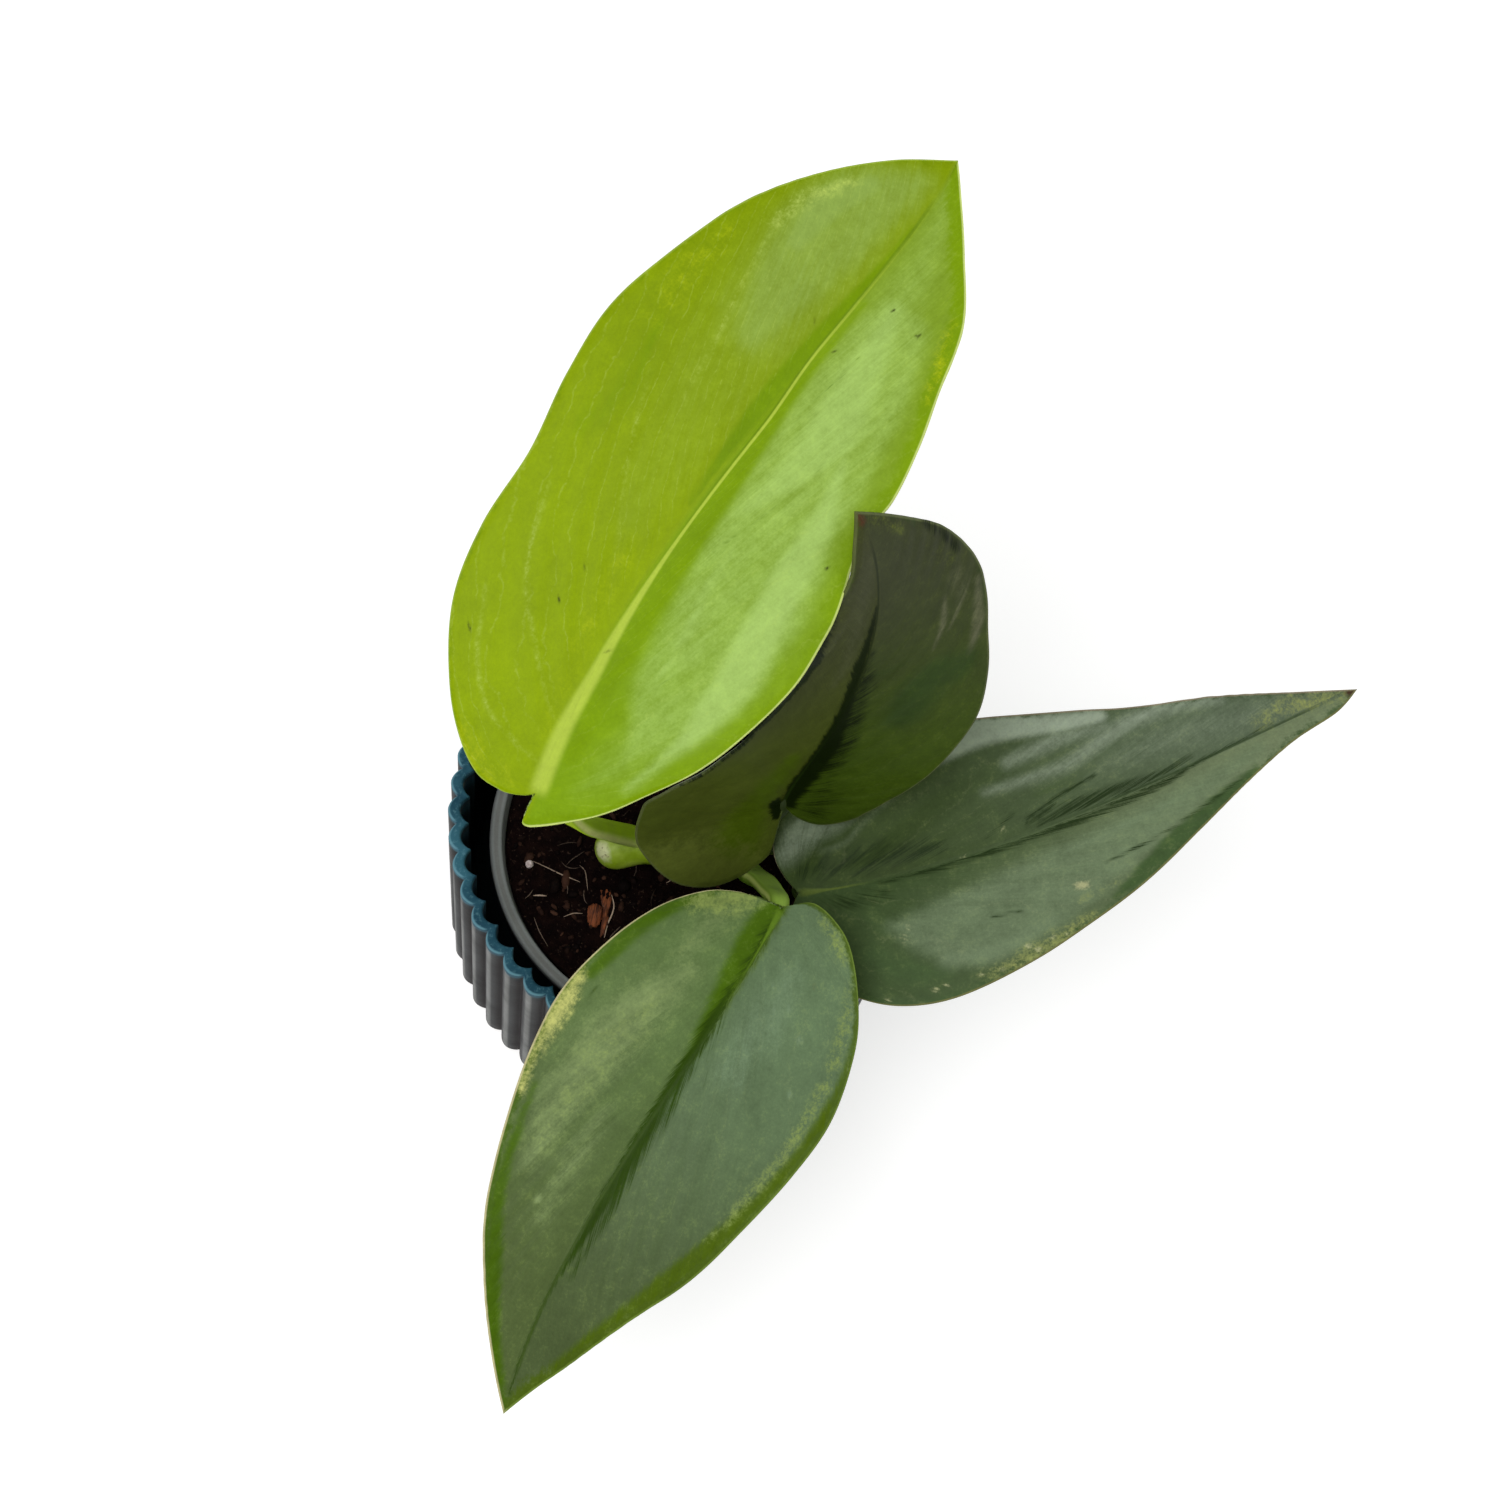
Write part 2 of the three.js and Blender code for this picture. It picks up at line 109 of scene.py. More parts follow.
class Value:
    """A shader socket whose operators add Math nodes."""

    def __init__(self, paint: "Paint", socket: bpy.types.NodeSocket) -> None:
        """Wraps an output socket of a material."""
        self.paint = paint
        self.socket = socket

    def maths(self, operation: str, *values: "Number") -> "Value":
        """Adds a Math node on the given values."""
        return self.paint.add("ShaderNodeMath", {"operation": operation}, dict(enumerate(values)))

    __add__ = operator("ADD")
    __radd__ = operator("ADD", swapped=True)
    __sub__ = operator("SUBTRACT")
    __rsub__ = operator("SUBTRACT", swapped=True)
    __mul__ = operator("MULTIPLY")
    __rmul__ = operator("MULTIPLY", swapped=True)
    __truediv__ = operator("DIVIDE")
    most = operator("MAXIMUM")

    def __abs__(self) -> "Value":
        """Drops the sign."""
        return self.maths("ABSOLUTE", self)

    def part(self) -> "Value":
        """Returns the part after the decimal point."""
        return self.maths("FRACT", self)

    def out(self, name: str) -> "Value":
        """Returns another output of the same node."""
        return Value(self.paint, self.socket.node.outputs[name])


Number = Union[Value, float]


class Paint:
    """One material and the nodes that are added to it."""

    def __init__(self, name: str, **constants: Any) -> None:
        """Starts a material with its Principled shader.

        Args:
            name: The material's name.
            constants: Values of the shader's sockets that are the same all over.
        """
        self.material = bpy.data.materials.new(name)
        self.material.use_nodes = True
        self.tree = self.material.node_tree
        self.shader = self.tree.nodes["Principled BSDF"]
        for socket, value in constants.items():
            self.shader.inputs[socket.replace("_", " ")].default_value = value

    def add(
        self,
        kind: str,
        settings: Optional[Mapping[str, Any]] = None,
        sockets: Optional[Mapping[Union[int, str], Any]] = None,
        output: Union[int, str] = 0,
    ) -> Value:
        """Adds a node.

        Args:
            kind: The node's type.
            settings: The node's properties; "stops" holds a ramp's places and colours.
            sockets: Values or links by the socket's name or number.
            output: The output that is returned.

        Returns:
            The wrapped output socket.
        """
        node = self.tree.nodes.new(kind)
        for key, value in (settings or {}).items():
            if key == "stops":
                self._set_stops(node.color_ramp, value)
            else:
                setattr(node, key, value)
        for key, value in (sockets or {}).items():
            self.feed(node.inputs[key], value)
        return Value(self, node.outputs[output])

    @staticmethod
    def _set_stops(ramp: bpy.types.ColorRamp, stops: Sequence[tuple[float, Colour]]) -> None:
        """Sets the stops of a colour ramp."""
        while len(ramp.elements) < len(stops):
            ramp.elements.new(1.0)
        for element, (place, colour) in zip(ramp.elements, stops):
            element.position = place
            element.color = (*colour, 1.0)

    def feed(self, socket: bpy.types.NodeSocket, value: Any) -> None:
        """Sets or links one input socket."""
        if isinstance(value, Value):
            self.tree.links.new(value.socket, socket)
        elif isinstance(value, tuple) and socket.type == "RGBA":
            socket.default_value = (*value, 1.0)
        else:
            socket.default_value = value

    def attribute(self, name: str) -> tuple[Value, Value, Value]:
        """Returns the three parts of one of the piece's own attributes."""
        vector = self.add("ShaderNodeAttribute", {"attribute_name": name}, output="Vector")
        return self.split(vector)

    def place(self) -> Value:
        """Returns the point of the surface in metres."""
        return self.add("ShaderNodeTexCoord", output="Object")

    def split(self, vector: Value) -> tuple[Value, Value, Value]:
        """Returns the three parts of a vector."""
        first = self.add("ShaderNodeSeparateXYZ", sockets={0: vector}, output="X")
        return first, first.out("Y"), first.out("Z")

    def join(self, x: Number, y: Number, z: Number = 0.0) -> Value:
        """Returns a vector made of three values."""
        return self.add("ShaderNodeCombineXYZ", sockets={0: x, 1: y, 2: z})

    def noise(
        self, vector: Value, scale: float = 1.0, detail: float = 2.0, rough: float = 0.5,
        twist: float = 0.0,
    ) -> Value:
        """Returns a soft noise from about 0.25 to 0.75 round 0.5."""
        sockets = {
            "Vector": vector, "Scale": scale, "Detail": detail, "Roughness": rough, "Distortion": twist,
        }
        return self.add("ShaderNodeTexNoise", sockets=sockets)

    def rise(self, value: Number, low: Number, high: Number) -> Value:
        """Returns 0 below low, 1 above high and a smooth rise between them."""
        settings = {"interpolation_type": "SMOOTHSTEP"}
        return self.add("ShaderNodeMapRange", settings, {"Value": value, "From Min": low, "From Max": high})

    def blend(self, share: Number, first: Any, second: Any, kind: str = "MIX") -> Value:
        """Returns a mix of two colours."""
        settings = {"data_type": "RGBA", "blend_type": kind}
        return self.add("ShaderNodeMix", settings, {0: share, 6: first, 7: second}, 2)

    def toned(self, colour: Any, tone: Value) -> Value:
        """Returns a colour made lighter or darker by a tone round 0."""
        factor = tone + 1.0
        return self.blend(1.0, colour, self.join(factor, factor, factor), "MULTIPLY")

    def bump(self, height: Value, distance: float, strength: float = 1.0) -> None:
        """Feeds the shader's normal with a relief.

        Args:
            height: The relief, from 0 to 1.
            distance: The height of 1, in metres.
            strength: The share of the relief that shows.
        """
        normal = self.add(
            "ShaderNodeBump", None, {"Strength": strength, "Distance": distance, "Height": height}
        )
        self.feed(self.shader.inputs["Normal"], normal)

    def finish(self, colour: Any, rough: Any) -> bpy.types.Material:
        """Feeds the shader's colour and roughness and returns the material."""
        self.feed(self.shader.inputs["Base Color"], colour)
        self.feed(self.shader.inputs["Roughness"], rough)
        return self.material


def start_mesh(*names: str) -> tuple[Any, ...]:
    """Starts a mesh.

    Args:
        names: The names of its vertex layers.

    Returns:
        The empty mesh, and then its layers.
    """
    mesh = bmesh.new()
    for name in names:
        mesh.verts.layers.float_vector.new(name)
    return mesh, *(mesh.verts.layers.float_vector[name] for name in names)


def link_mesh(mesh: bmesh.types.BMesh, name: str, *materials: bpy.types.Material) -> bpy.types.Object:
    """Turns a mesh into an object of the scene.

    Args:
        mesh: The mesh in metres; it is freed.
        name: The object's name.
        materials: The object's materials, in the order of its faces' numbers.

    Returns:
        The object.
    """
    data = bpy.data.meshes.new(name)
    mesh.to_mesh(data)
    mesh.free()
    for material in materials:
        data.materials.append(material)
    thing = bpy.data.objects.new(name, data)
    bpy.context.scene.collection.objects.link(thing)
    return thing


def add_piece(
    mesh: bmesh.types.BMesh, name: str, node: str, *materials: bpy.types.Material
) -> bpy.types.Object:
    """Turns a finished mesh into a piece of the object.

    Args:
        mesh: The mesh in metres; it is freed.
        name: The piece's name.
        node: The CAD node that the piece stands for, which is hidden.
        materials: The piece's materials, in the order of its faces' numbers.

    Returns:
        The piece's object.
    """
    for face in mesh.faces:
        face.smooth = True
    piece = link_mesh(mesh, name, *materials)
    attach(piece, "root")
    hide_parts(node)
    LOG.info("%s: %d faces", name, len(piece.data.polygons))
    return piece


def lay_grid(
    mesh: bmesh.types.BMesh,
    columns: int,
    rows: int,
    put: Callable[[bmesh.types.BMVert, int, int], None],
) -> list[bmesh.types.BMFace]:
    """Lays a grid of cells on a surface.

    Args:
        mesh: The mesh that the grid is added to.
        columns: The number of cells along the first direction.
        rows: The number of cells along the second direction.
        put: Moves a vertex to its place, from its column and row.

    Returns:
        The faces of the grid, which face up where the first direction runs to the right.
    """
    flat = bmesh.ops.create_grid(mesh, x_segments=columns, y_segments=rows, size=1.0)["verts"]
    for vertex in flat:
        column = round((vertex.co.x + 1) / 2 * columns)
        row = round((vertex.co.y + 1) / 2 * rows)
        put(vertex, column, row)
    return list({face for vertex in flat for face in vertex.link_faces})


def weld(mesh: bmesh.types.BMesh, outward: bool = False) -> None:
    """Merges the vertices of seams and poles and drops faces without area.

    Args:
        mesh: The mesh, whose doubles are gone afterwards.
        outward: Whether its faces are then turned outwards.
    """
    bmesh.ops.remove_doubles(mesh, verts=mesh.verts, dist=MERGE)
    bmesh.ops.dissolve_degenerate(mesh, edges=mesh.edges, dist=MERGE / 2)
    if outward:
        bmesh.ops.recalc_face_normals(mesh, faces=mesh.faces)


def quarter_round(steps: int = 4) -> list[tuple[int, float, float]]:
    """Returns a quarter circle's steps.

    Args:
        steps: The number of steps.

    Returns:
        Each step's number, its share away from where the circle starts and its share left to go.
    """
    turns = [(step, math.pi / 2 * step / steps) for step in range(steps + 1)]
    return [(step, 1 - math.cos(turn), 1 - math.sin(turn)) for step, turn in turns]


def curve_through(points: Sequence[Sequence[float]], count: int) -> list[Vector]:
    """Returns evenly numbered points on a smooth curve.

    Args:
        points: The points that the curve passes, in two or three dimensions.
        count: The number of stretches between the returned points.

    Returns:
        The points of the curve, ends included.
    """
    knots = [Vector(point) for point in points]
    last = len(knots) - 1
    found = []
    for step in range(count + 1):
        place = last * step / count
        index = min(int(place), last - 1)
        share = place - index
        before = knots[max(index - 1, 0)] if len(knots[0]) == 2 or index else 2 * knots[0] - knots[1]
        start = knots[index]
        end = knots[index + 1]
        after = knots[min(index + 2, last)]
        if len(knots[0]) == 3 and index + 2 > last:
            after = 2 * knots[last] - knots[last - 1]
        found.append(catmull_rom(before, start, end, after, share))
    return found


def catmull_rom(before: Vector, start: Vector, end: Vector, after: Vector, share: float) -> Vector:
    """Returns the point of a uniform Catmull-Rom stretch at a share of its way."""
    leave = (end - before) / 2
    arrive = (after - start) / 2
    square = share * share
    cube = square * share
    return (
        (2 * start - 2 * end + leave + arrive) * cube
        + (3 * end - 3 * start - 2 * leave - arrive) * square
        + leave * share
        + start
    )


@dataclass(frozen=True)
class Station:
    """One place of a margin: its foot on the rib and its two distances, all in millimetres."""

    foot: float
    along: float
    away: float


@dataclass(frozen=True)
class Blade:
    """A leaf blade as a surface over its rib.

    The rib is a Bezier curve. Along it the blade faces the way that `facing` gives at both ends
    (compass angle and height in degrees), and each half leaves the rib at a fold angle and curls.
    The outlines are distances along the rib and away from it.
    """

    rib: tuple[Point, Point, Point, Point]
    facing: tuple[Flat, Flat]
    half_width: float
    fold: dict[Side, Flat]
    curl: dict[Side, float]
    outline: dict[Side, tuple[Flat, ...]]
    least_away: float = 0.0
    foot_shift: float = 0.5
    frame_reach: float = 14.0
    level_reach: float = 1.5
    fine: int = 600
    lengths: list[float] = field(default_factory=list, compare=False)

    def bezier(self, share: float) -> Vector:
        """Returns the rib's point at a share of its parameter."""
        rest = 1 - share
        parts = (rest**3, 3 * rest * rest * share, 3 * rest * share * share, share**3)
        return sum((Vector(knot) * part for knot, part in zip(self.rib, parts)), Vector())

    def measure(self) -> list[float]:
        """Returns the rib's length up to each of its fine steps."""
        if not self.lengths:
            reached = 0.0
            before = self.bezier(0)
            self.lengths.append(0.0)
            for step in range(1, self.fine + 1):
                point = self.bezier(step / self.fine)
                reached += (point - before).length
                self.lengths.append(reached)
                before = point
        return self.lengths

    @property
    def length(self) -> float:
        """The rib's length."""
        return self.measure()[-1]

    def share(self, along: float) -> float:
        """Returns a distance from the joint as a share of the rib."""
        return clamp(along / self.length)

    def rib_point(self, along: float) -> Vector:
        """Returns a point of the rib, which runs straight on past both ends.

        Args:
            along: The distance from the joint.

        Returns:
            The point in millimetres.
        """
        lengths = self.measure()
        start, leave, arrive, end = (Vector(knot) for knot in self.rib)
        if along <= 0:
            return start + (leave - start).normalized() * along
        if along >= self.length:
            return end + (end - arrive).normalized() * (along - self.length)
        low = bisect.bisect_right(lengths, along) - 1
        share = (along - lengths[low]) / (lengths[low + 1] - lengths[low])
        return self.bezier((low + share) / self.fine)

    def frame_at(self, along: float) -> tuple[Vector, Vector]:
        """Returns the way that the blade faces.

        Args:
            along: The distance from the joint.

        Returns:
            The unit directions to the blade's left and up.
        """
        reach = self.frame_reach
        run = (self.rib_point(along + reach) - self.rib_point(along - reach)).normalized()
        start, end = (self._aim(*facing) for facing in self.facing)
        face = start.lerp(end, self.share(along)).normalized()
        left = face.cross(run).normalized()
        return left, run.cross(left)

    @staticmethod
    def _aim(compass: float, height: float) -> Vector:
        """Returns the unit vector of a compass angle and a height in degrees."""
        around = math.radians(compass)
        up = math.radians(height)
        return Vector((math.cos(up) * math.cos(around), math.cos(up) * math.sin(around), math.sin(up)))

    def point(self, along: float, away: float, side: Side, lift: float = 0.0) -> Vector:
        """Returns a point of the blade.

        Args:
            along: The distance along the rib.
            away: The distance from the rib, measured on the blade.
            side: The half that the point is on.
            lift: The height above the middle surface.

        Returns:
            The point in millimetres.
        """
        left, up = self.frame_at(along)
        fold = math.radians(mix(*self.fold[side], self.share(along)))
        bend = math.radians(self.curl[side] or 1e-4) / self.half_width
        turned = fold + bend * away
        out = (math.sin(turned) - math.sin(fold)) / bend
        rise = (math.cos(fold) - math.cos(turned)) / bend
        lean = turned * smooth_step(away, 0, self.level_reach)
        sideways = side.value * (out - lift * math.sin(lean))
        return self.rib_point(along) + left * sideways + up * (rise + lift * math.cos(lean))

    def stations(self, side: Side, lobe: int, body: int) -> list[Station]:
        """Returns places round one margin: a fan round the lobe, then even steps up the rib.

        Args:
            side: The half of the blade.
            lobe: The number of steps round the basal lobe.
            body: The number of steps along the rib.

        Returns:
            The stations from the joint to the tip.
        """
        margin = curve_through(self.outline[side], self.fine)
        stretch = self.length / margin[-1].x
        reached = 0.0
        feet = []
        for edge in margin:
            reached = max(reached, edge.x - self.foot_shift * abs(edge.y))
            feet.append(reached * stretch)

        def station(place: float, foot: float) -> Station:
            """Returns the station at a place of the fine margin."""
            below = min(int(place), self.fine - 1)
            edge = margin[below].lerp(margin[below + 1], place - below)
            return Station(foot, edge.x * stretch, max(edge.y, self.least_away))

        lobe_end = next(index for index, foot in enumerate(feet) if foot > 0) - 1
        found = [station(lobe_end * step / lobe, 0.0) for step in range(lobe + 1)]
        for step in range(1, body):
            foot = self.length * step / body
            above = next(index for index, value in enumerate(feet) if value >= foot)
            share = (foot - feet[above - 1]) / (feet[above] - feet[above - 1])
            found.append(station(above - 1 + share, foot))
        found.append(Station(self.length, self.length, 0.0))
        return found


@dataclass(frozen=True)
class Veins:
    """The way that the side veins of a half blade run.

    They leave the rib steeply near the joint and flatly near the tip, and arch along the margin.
    """

    start_slope: float = 0.3
    end_slope: float = 2.2
    settle: float = 20.0
    arch: float = 0.05
    fan_pitch: float = 20.0
    tries: int = 22

    def run(self, start: float, away: float) -> float:
        """Returns how far up the rib a vein that starts at a place has run at a distance from it."""
        slope = mix(self.end_slope, self.start_slope, math.exp(-start / self.settle))
        return slope * away + self.arch * away * away

    def locate(self, along: float, away: float) -> Flat:
        """Returns a point's place among the veins.

        Args:
            along: The distance along the rib.
            away: The distance from the rib.

        Returns:
            The place across the veins and the way along its own vein, in millimetres.
        """
        first = self.run(0.0, away)
        if along < first:
            turn = math.atan2(away, along) - math.atan2(away, first)
            return -self.fan_pitch * turn, math.hypot(along, away)
        low = 0.0
        high = along
        for _ in range(self.tries):
            middle = (low + high) / 2
            if middle + self.run(middle, away) < along:
                low = middle
            else:
                high = middle
        return low, math.hypot(along - low, away)


class Tone(Enum):
    """What a mark on a blade lays down: a tone of the leaf's colour, which in places is painted sheen,
    highlight or shade, or a rise of the surface.
    """

    # Silver of the variegation, and painted sheen and highlights
    LIGHT = 0
    GREEN = 1
    # Dark green of the variegation, and painted shadow and shade in places
    DEEP = 2
    # Yellow mottling, and on the middle leaf's lower lobe painted light
    YELLOW = 3
    FINE = 4
    DRY = 5
    RISE = 6


@dataclass(frozen=True)
class Mark:
    """A mark brushed along a curve on a blade.

    Each point of its path gives the distance along the rib, the signed distance from it and the
    half width, in millimetres. The strength of a rise is its height.
    """

    tone: Tone
    path: tuple[Point, ...]
    soft: float = 1.0
    strength: float = 1.0

    @cached_property
    def stretches(self) -> list[tuple[float, ...]]:
        """The short straight stretches of the mark: start, run and squared length."""
        points = [Vector(point) for point in self.path] * (2 if len(self.path) == 1 else 1)
        if len(points) > 2:
            points = curve_through(self.path, 5 * (len(points) - 1))
        return [
            (*start, *(end - start), max((end - start).xy.length_squared, 1e-9))
            for start, end in zip(points, points[1:])
        ]

    @cached_property
    def box(self) -> tuple[float, float, float, float]:
        """The lowest and highest distances that the mark reaches."""
        pad = self.soft + max(point[2] for point in self.path)
        alongs = [stretch[0] for stretch in self.stretches] + [self.path[-1][0]]
        offs = [stretch[1] for stretch in self.stretches] + [self.path[-1][1]]
        return min(alongs) - pad, max(alongs) + pad, min(offs) - pad, max(offs) + pad

    def share(self, along: float, off: float) -> float:
        """Returns how strong the mark is at a place of the blade.

        Args:
            along: The distance along the rib.
            off: The signed distance from the rib.

        Returns:
            The mark's strength, or 0 outside it.
        """
        low_along, high_along, low_off, high_off = self.box
        if not (low_along < along < high_along and low_off < off < high_off):
            return 0.0
        least = math.inf
        for start_along, start_off, start_half, run_along, run_off, widening, square in self.stretches:
            gap_along = along - start_along
            gap_off = off - start_off
            way = clamp((gap_along * run_along + gap_off * run_off) / square)
            gap = math.hypot(gap_along - run_along * way, gap_off - run_off * way)
            least = min(least, gap - start_half - widening * way)
        return self.strength * (1 - smooth_step(least, -self.soft, self.soft))


def brushed(tone: Tone, *strokes: tuple) -> tuple[Mark, ...]:
    """Returns marks of one tone; a stroke gives its softness, its strength and its path."""
    return tuple(Mark(tone, tuple(path), soft, strength) for soft, strength, *path in strokes)


def dotted(tone: Tone, soft: float, strength: float, *spots: Point) -> tuple[Mark, ...]:
    """Returns round marks of one tone at the given spots."""
    return tuple(Mark(tone, (spot,), soft, strength) for spot in spots)


@dataclass(frozen=True)
class Relief:
    """The gentle relief of a blade: its sunk or raised rib and soft waves, in millimetres."""

    rib_depth: float = 0.35
    rib_width: float = 1.6
    wave: float = 0.05
    wave_pitch: float = 6.0

    def height(self, along: float, gap: float, side: Side, length: float, across: float) -> float:
        """Returns the relief at a place.

        Args:
            along: The distance along the rib.
            gap: The distance from the rib's line.
            side: The half of the blade.
            length: The blade's length.
            across: The place across the veins.

        Returns:
            The height above the plain blade.
        """
        fade = smooth_step(along, -2, 6) * (1 - smooth_step(along, 0.75 * length, length))
        rib = -self.rib_depth * math.exp(-((gap / self.rib_width) ** 2)) * fade
        wave = self.wave * math.sin(2 * math.pi * across / self.wave_pitch + 1.3 * side.value)
        return rib + wave * smooth_step(gap, 1, 6) * fade


@dataclass(frozen=True)
class LeafFinish:
    """The colours of one leaf: its ground at the joint and the tip, and the tones of its marks, with
    painted sheen, highlights and shade among them.
    """

    name: str
    length: float
    ground: dict[Side, tuple[Colour, Colour]]
    # The silver, also used for painted sheen and highlights
    light: dict[Side, Colour]
    green: dict[Side, Colour]
    # The dark green, which some marks also lay as painted shadow
    deep: Colour
    # The yellow mottling, which the middle leaf's lobe also takes as painted light
    yellow: Colour
    fine: Colour
    dry: Colour
    margin: dict[Side, Flat]
    rib: Colour
    # The colour of the painted shade in the crease beside the rib
    crease_shade: Colour
    rib_half: Flat
    rib_reach: Flat
    edge: dict[Side, Colour]
    edge_width: float
    under: Colour
    streak: float = 0.1
    mottled: float = 0.15
    ragged: float = 0.6
    vein_pitch: float = 3.4
    vein_share: dict[Side, float] = field(default_factory=lambda: halves(0.2, 0.12))
    rough: float = 0.4
    gloss: float = 0.04

    def upper(self) -> bpy.types.Material:
        """Returns the material of the upper side."""
        paint = Paint(self.name + "_upper", Specular_IOR_Level=self.gloss)
        along, off, edge = paint.attribute("place")
        across, reach, from_rib = paint.attribute("vein")
        silver_and_sheen_mark, green_mark, dark_and_shadow_mark = paint.attribute("tones")
        yellow_and_light_mark, fine_mark, dry_mark = paint.attribute("spots")
        left = paint.rise(off, -0.7, 0.7)
        half = left * 7.3
        streaks = paint.noise(paint.join(across * 0.5, reach * 0.07, half), detail=4, rough=0.6) - 0.5
        lines = paint.noise(paint.join(across * 2.4, reach * 0.16, half), detail=3, rough=0.6) - 0.5
        cloud = paint.noise(paint.join(along * 0.12, off * 0.12, half), detail=4, rough=0.6) - 0.5
        patches = paint.noise(paint.join(along * 0.5, off * 0.5, 3.0), detail=4, rough=0.7) - 0.5
        grain = paint.noise(paint.join(along * 2.2, off * 2.2), detail=3, rough=0.7) - 0.5

        up_rib = paint.rise(along, 0.1 * self.length, 0.85 * self.length)
        grounds = {side: paint.blend(up_rib, *self.ground[side]) for side in Side}
        colour = self._halves(paint, left, grounds)
        feathers = streaks * 1.6 + lines * 0.7 + grain * 0.6
        mottle = patches * 1.8 + grain * 1.2 + cloud * 0.6
        # Silver of the variegation, with painted sheen and highlights where the marks lay them
        in_silver_and_sheen = self._laid(paint, silver_and_sheen_mark, (feathers + patches * 1.4) * self.ragged)
        colour = paint.blend(in_silver_and_sheen, colour, self._halves(paint, left, self.light))

        start_width = self._halves_value(left, {side: self.margin[side][0] for side in Side})
        end_width = self._halves_value(left, {side: self.margin[side][1] for side in Side})
        width = start_width + (end_width - start_width) * paint.rise(along, 0, self.length)
        in_margin = 1 - paint.rise(edge + feathers + patches * 3.6 - width, -0.7, 0.7)
        in_green = self._laid(paint, green_mark, feathers * 0.8).most(in_margin * 0.85)
        colour = paint.blend(in_green, colour, self._halves(paint, left, self.green))
        # Yellow mottling, and painted light where a mark lifts a shaded part
        in_yellow_and_light = self._laid(paint, yellow_and_light_mark, mottle * 1.8)
        in_yellow_and_light = in_yellow_and_light.most(paint.rise(mottle, 0.05, 0.5) * self.mottled)
        colour = paint.blend(in_yellow_and_light, colour, self.yellow)
        # Dark green of the variegation, and painted shadow where the marks lay it
        in_dark_and_shadow = self._laid(paint, dark_and_shadow_mark, (feathers + lines) * 1.6)
        colour = paint.blend(in_dark_and_shadow, colour, self.deep)

        gap = abs((across / self.vein_pitch + cloud * 2.0).part() - 0.5) * self.vein_pitch
        on_vein = (1 - paint.rise(gap, 0.04, 0.24)) * paint.rise(reach, 1.5, 7)
        on_vein = on_vein * paint.rise(grain + patches, -0.15, 0.15)
        strength = self._halves_value(left, self.vein_share)
        colour = paint.blend(on_vein * strength, colour, self.fine)
        colour = paint.blend(self._laid(paint, fine_mark, mottle * 1.2), colour, self.fine)

        slimming = paint.rise(along, 0, self.rib_reach[1] * 0.45)
        rib_half = self.rib_half[0] + (self.rib_half[1] - self.rib_half[0]) * slimming
        rib_shown = (1 - paint.rise(along, *self.rib_reach)) * paint.rise(along, -0.8, 1.2)
        on_rib = (1 - paint.rise(abs(from_rib), rib_half * 0.4, rib_half * 1.3)) * rib_shown
        # Painted shade in the crease beside the visible rib, up the middle of the blade
        beside = paint.rise(from_rib, -0.1, 0.05) * (1 - paint.rise(from_rib, 0.25, 0.6))
        crease_shade_mask = beside * paint.rise(along, 0.25 * self.length, 0.6 * self.length)
        crease_shade_mask = crease_shade_mask * (1 - paint.rise(along, 0.88 * self.length, 0.95 * self.length))
        colour = paint.blend(crease_shade_mask * 0.7, colour, self.crease_shade)
        colour = paint.blend(on_rib, colour, self.rib)
        colour = paint.blend(self._laid(paint, dry_mark, grain * 1.6), colour, self.dry)
        on_edge = 1 - paint.rise(edge, self.edge_width * 0.4, self.edge_width)
        on_edge = on_edge * (1 - in_dark_and_shadow) * 0.85
        colour = paint.blend(on_edge, colour, self._halves(paint, left, self.edge))
        fibres = (streaks + lines * 0.6) * paint.rise(abs(off), 0.5, 1.8)
        colour = paint.toned(colour, (fibres + cloud * 2.2 + patches * 2.2 + grain * 1.8) * self.streak)

        relief = fibres * 0.5 + patches * 0.25 + grain * 0.2 - on_vein * 0.12
        paint.bump(relief, 0.12 * MM, 0.5)
        rough = (cloud * 0.6 + grain * 0.4) * 0.2 + self.rough
        return paint.finish(colour, rough)

    @staticmethod
    def _halves(paint: Paint, left: Value, colours: Mapping[Side, Any]) -> Value:
        """Returns the colour of the half that a point is on."""
        return paint.blend(left, colours[Side.RIGHT], colours[Side.LEFT])

    @staticmethod
    def _halves_value(left: Value, values: Mapping[Side, float]) -> Value:
        """Returns the number of the half that a point is on."""
        return left * (values[Side.LEFT] - values[Side.RIGHT]) + values[Side.RIGHT]

    @staticmethod
    def _laid(paint: Paint, mark: Value, breakup: Value) -> Value:
        """Returns the share of a marked tone at a point, with the mark's soft parts broken up."""
        return paint.rise(mark + breakup * mark * (1 - mark) * 3.0, 0.02, 0.98)

    def lower(self) -> bpy.types.Material:
        """Returns the material of the underside, which is paler and plainer."""
        paint = Paint(self.name + "_lower", Specular_IOR_Level=0.25)
        along, off, edge = paint.attribute("place")
        across, reach, _ = paint.attribute("vein")
        streaks = paint.noise(paint.join(across * 0.7, reach * 0.05), detail=3, rough=0.6)
        grain = paint.noise(paint.join(along * 1.6, off * 1.6), detail=3, rough=0.6)
        gap = abs((across / self.vein_pitch).part() - 0.5) * self.vein_pitch
        on_vein = (1 - paint.rise(gap, 0.1, 0.35)) * paint.rise(reach, 1.5, 7)
        pale = self.edge[Side.RIGHT]
        tone = (streaks - 0.5) * 0.3 + (grain - 0.5) * 0.2
        colour = paint.toned(self.under, tone)
        colour = paint.blend(on_vein * 0.25, colour, pale)
        colour = paint.blend((1 - paint.rise(edge, 0.15, 0.6)) * 0.7, colour, pale)
        paint.bump(streaks * 0.5 + grain * 0.3 + on_vein * 0.4, 0.12 * MM, 0.5)
        return paint.finish(colour, 0.55 + (grain - 0.5) * 0.2)


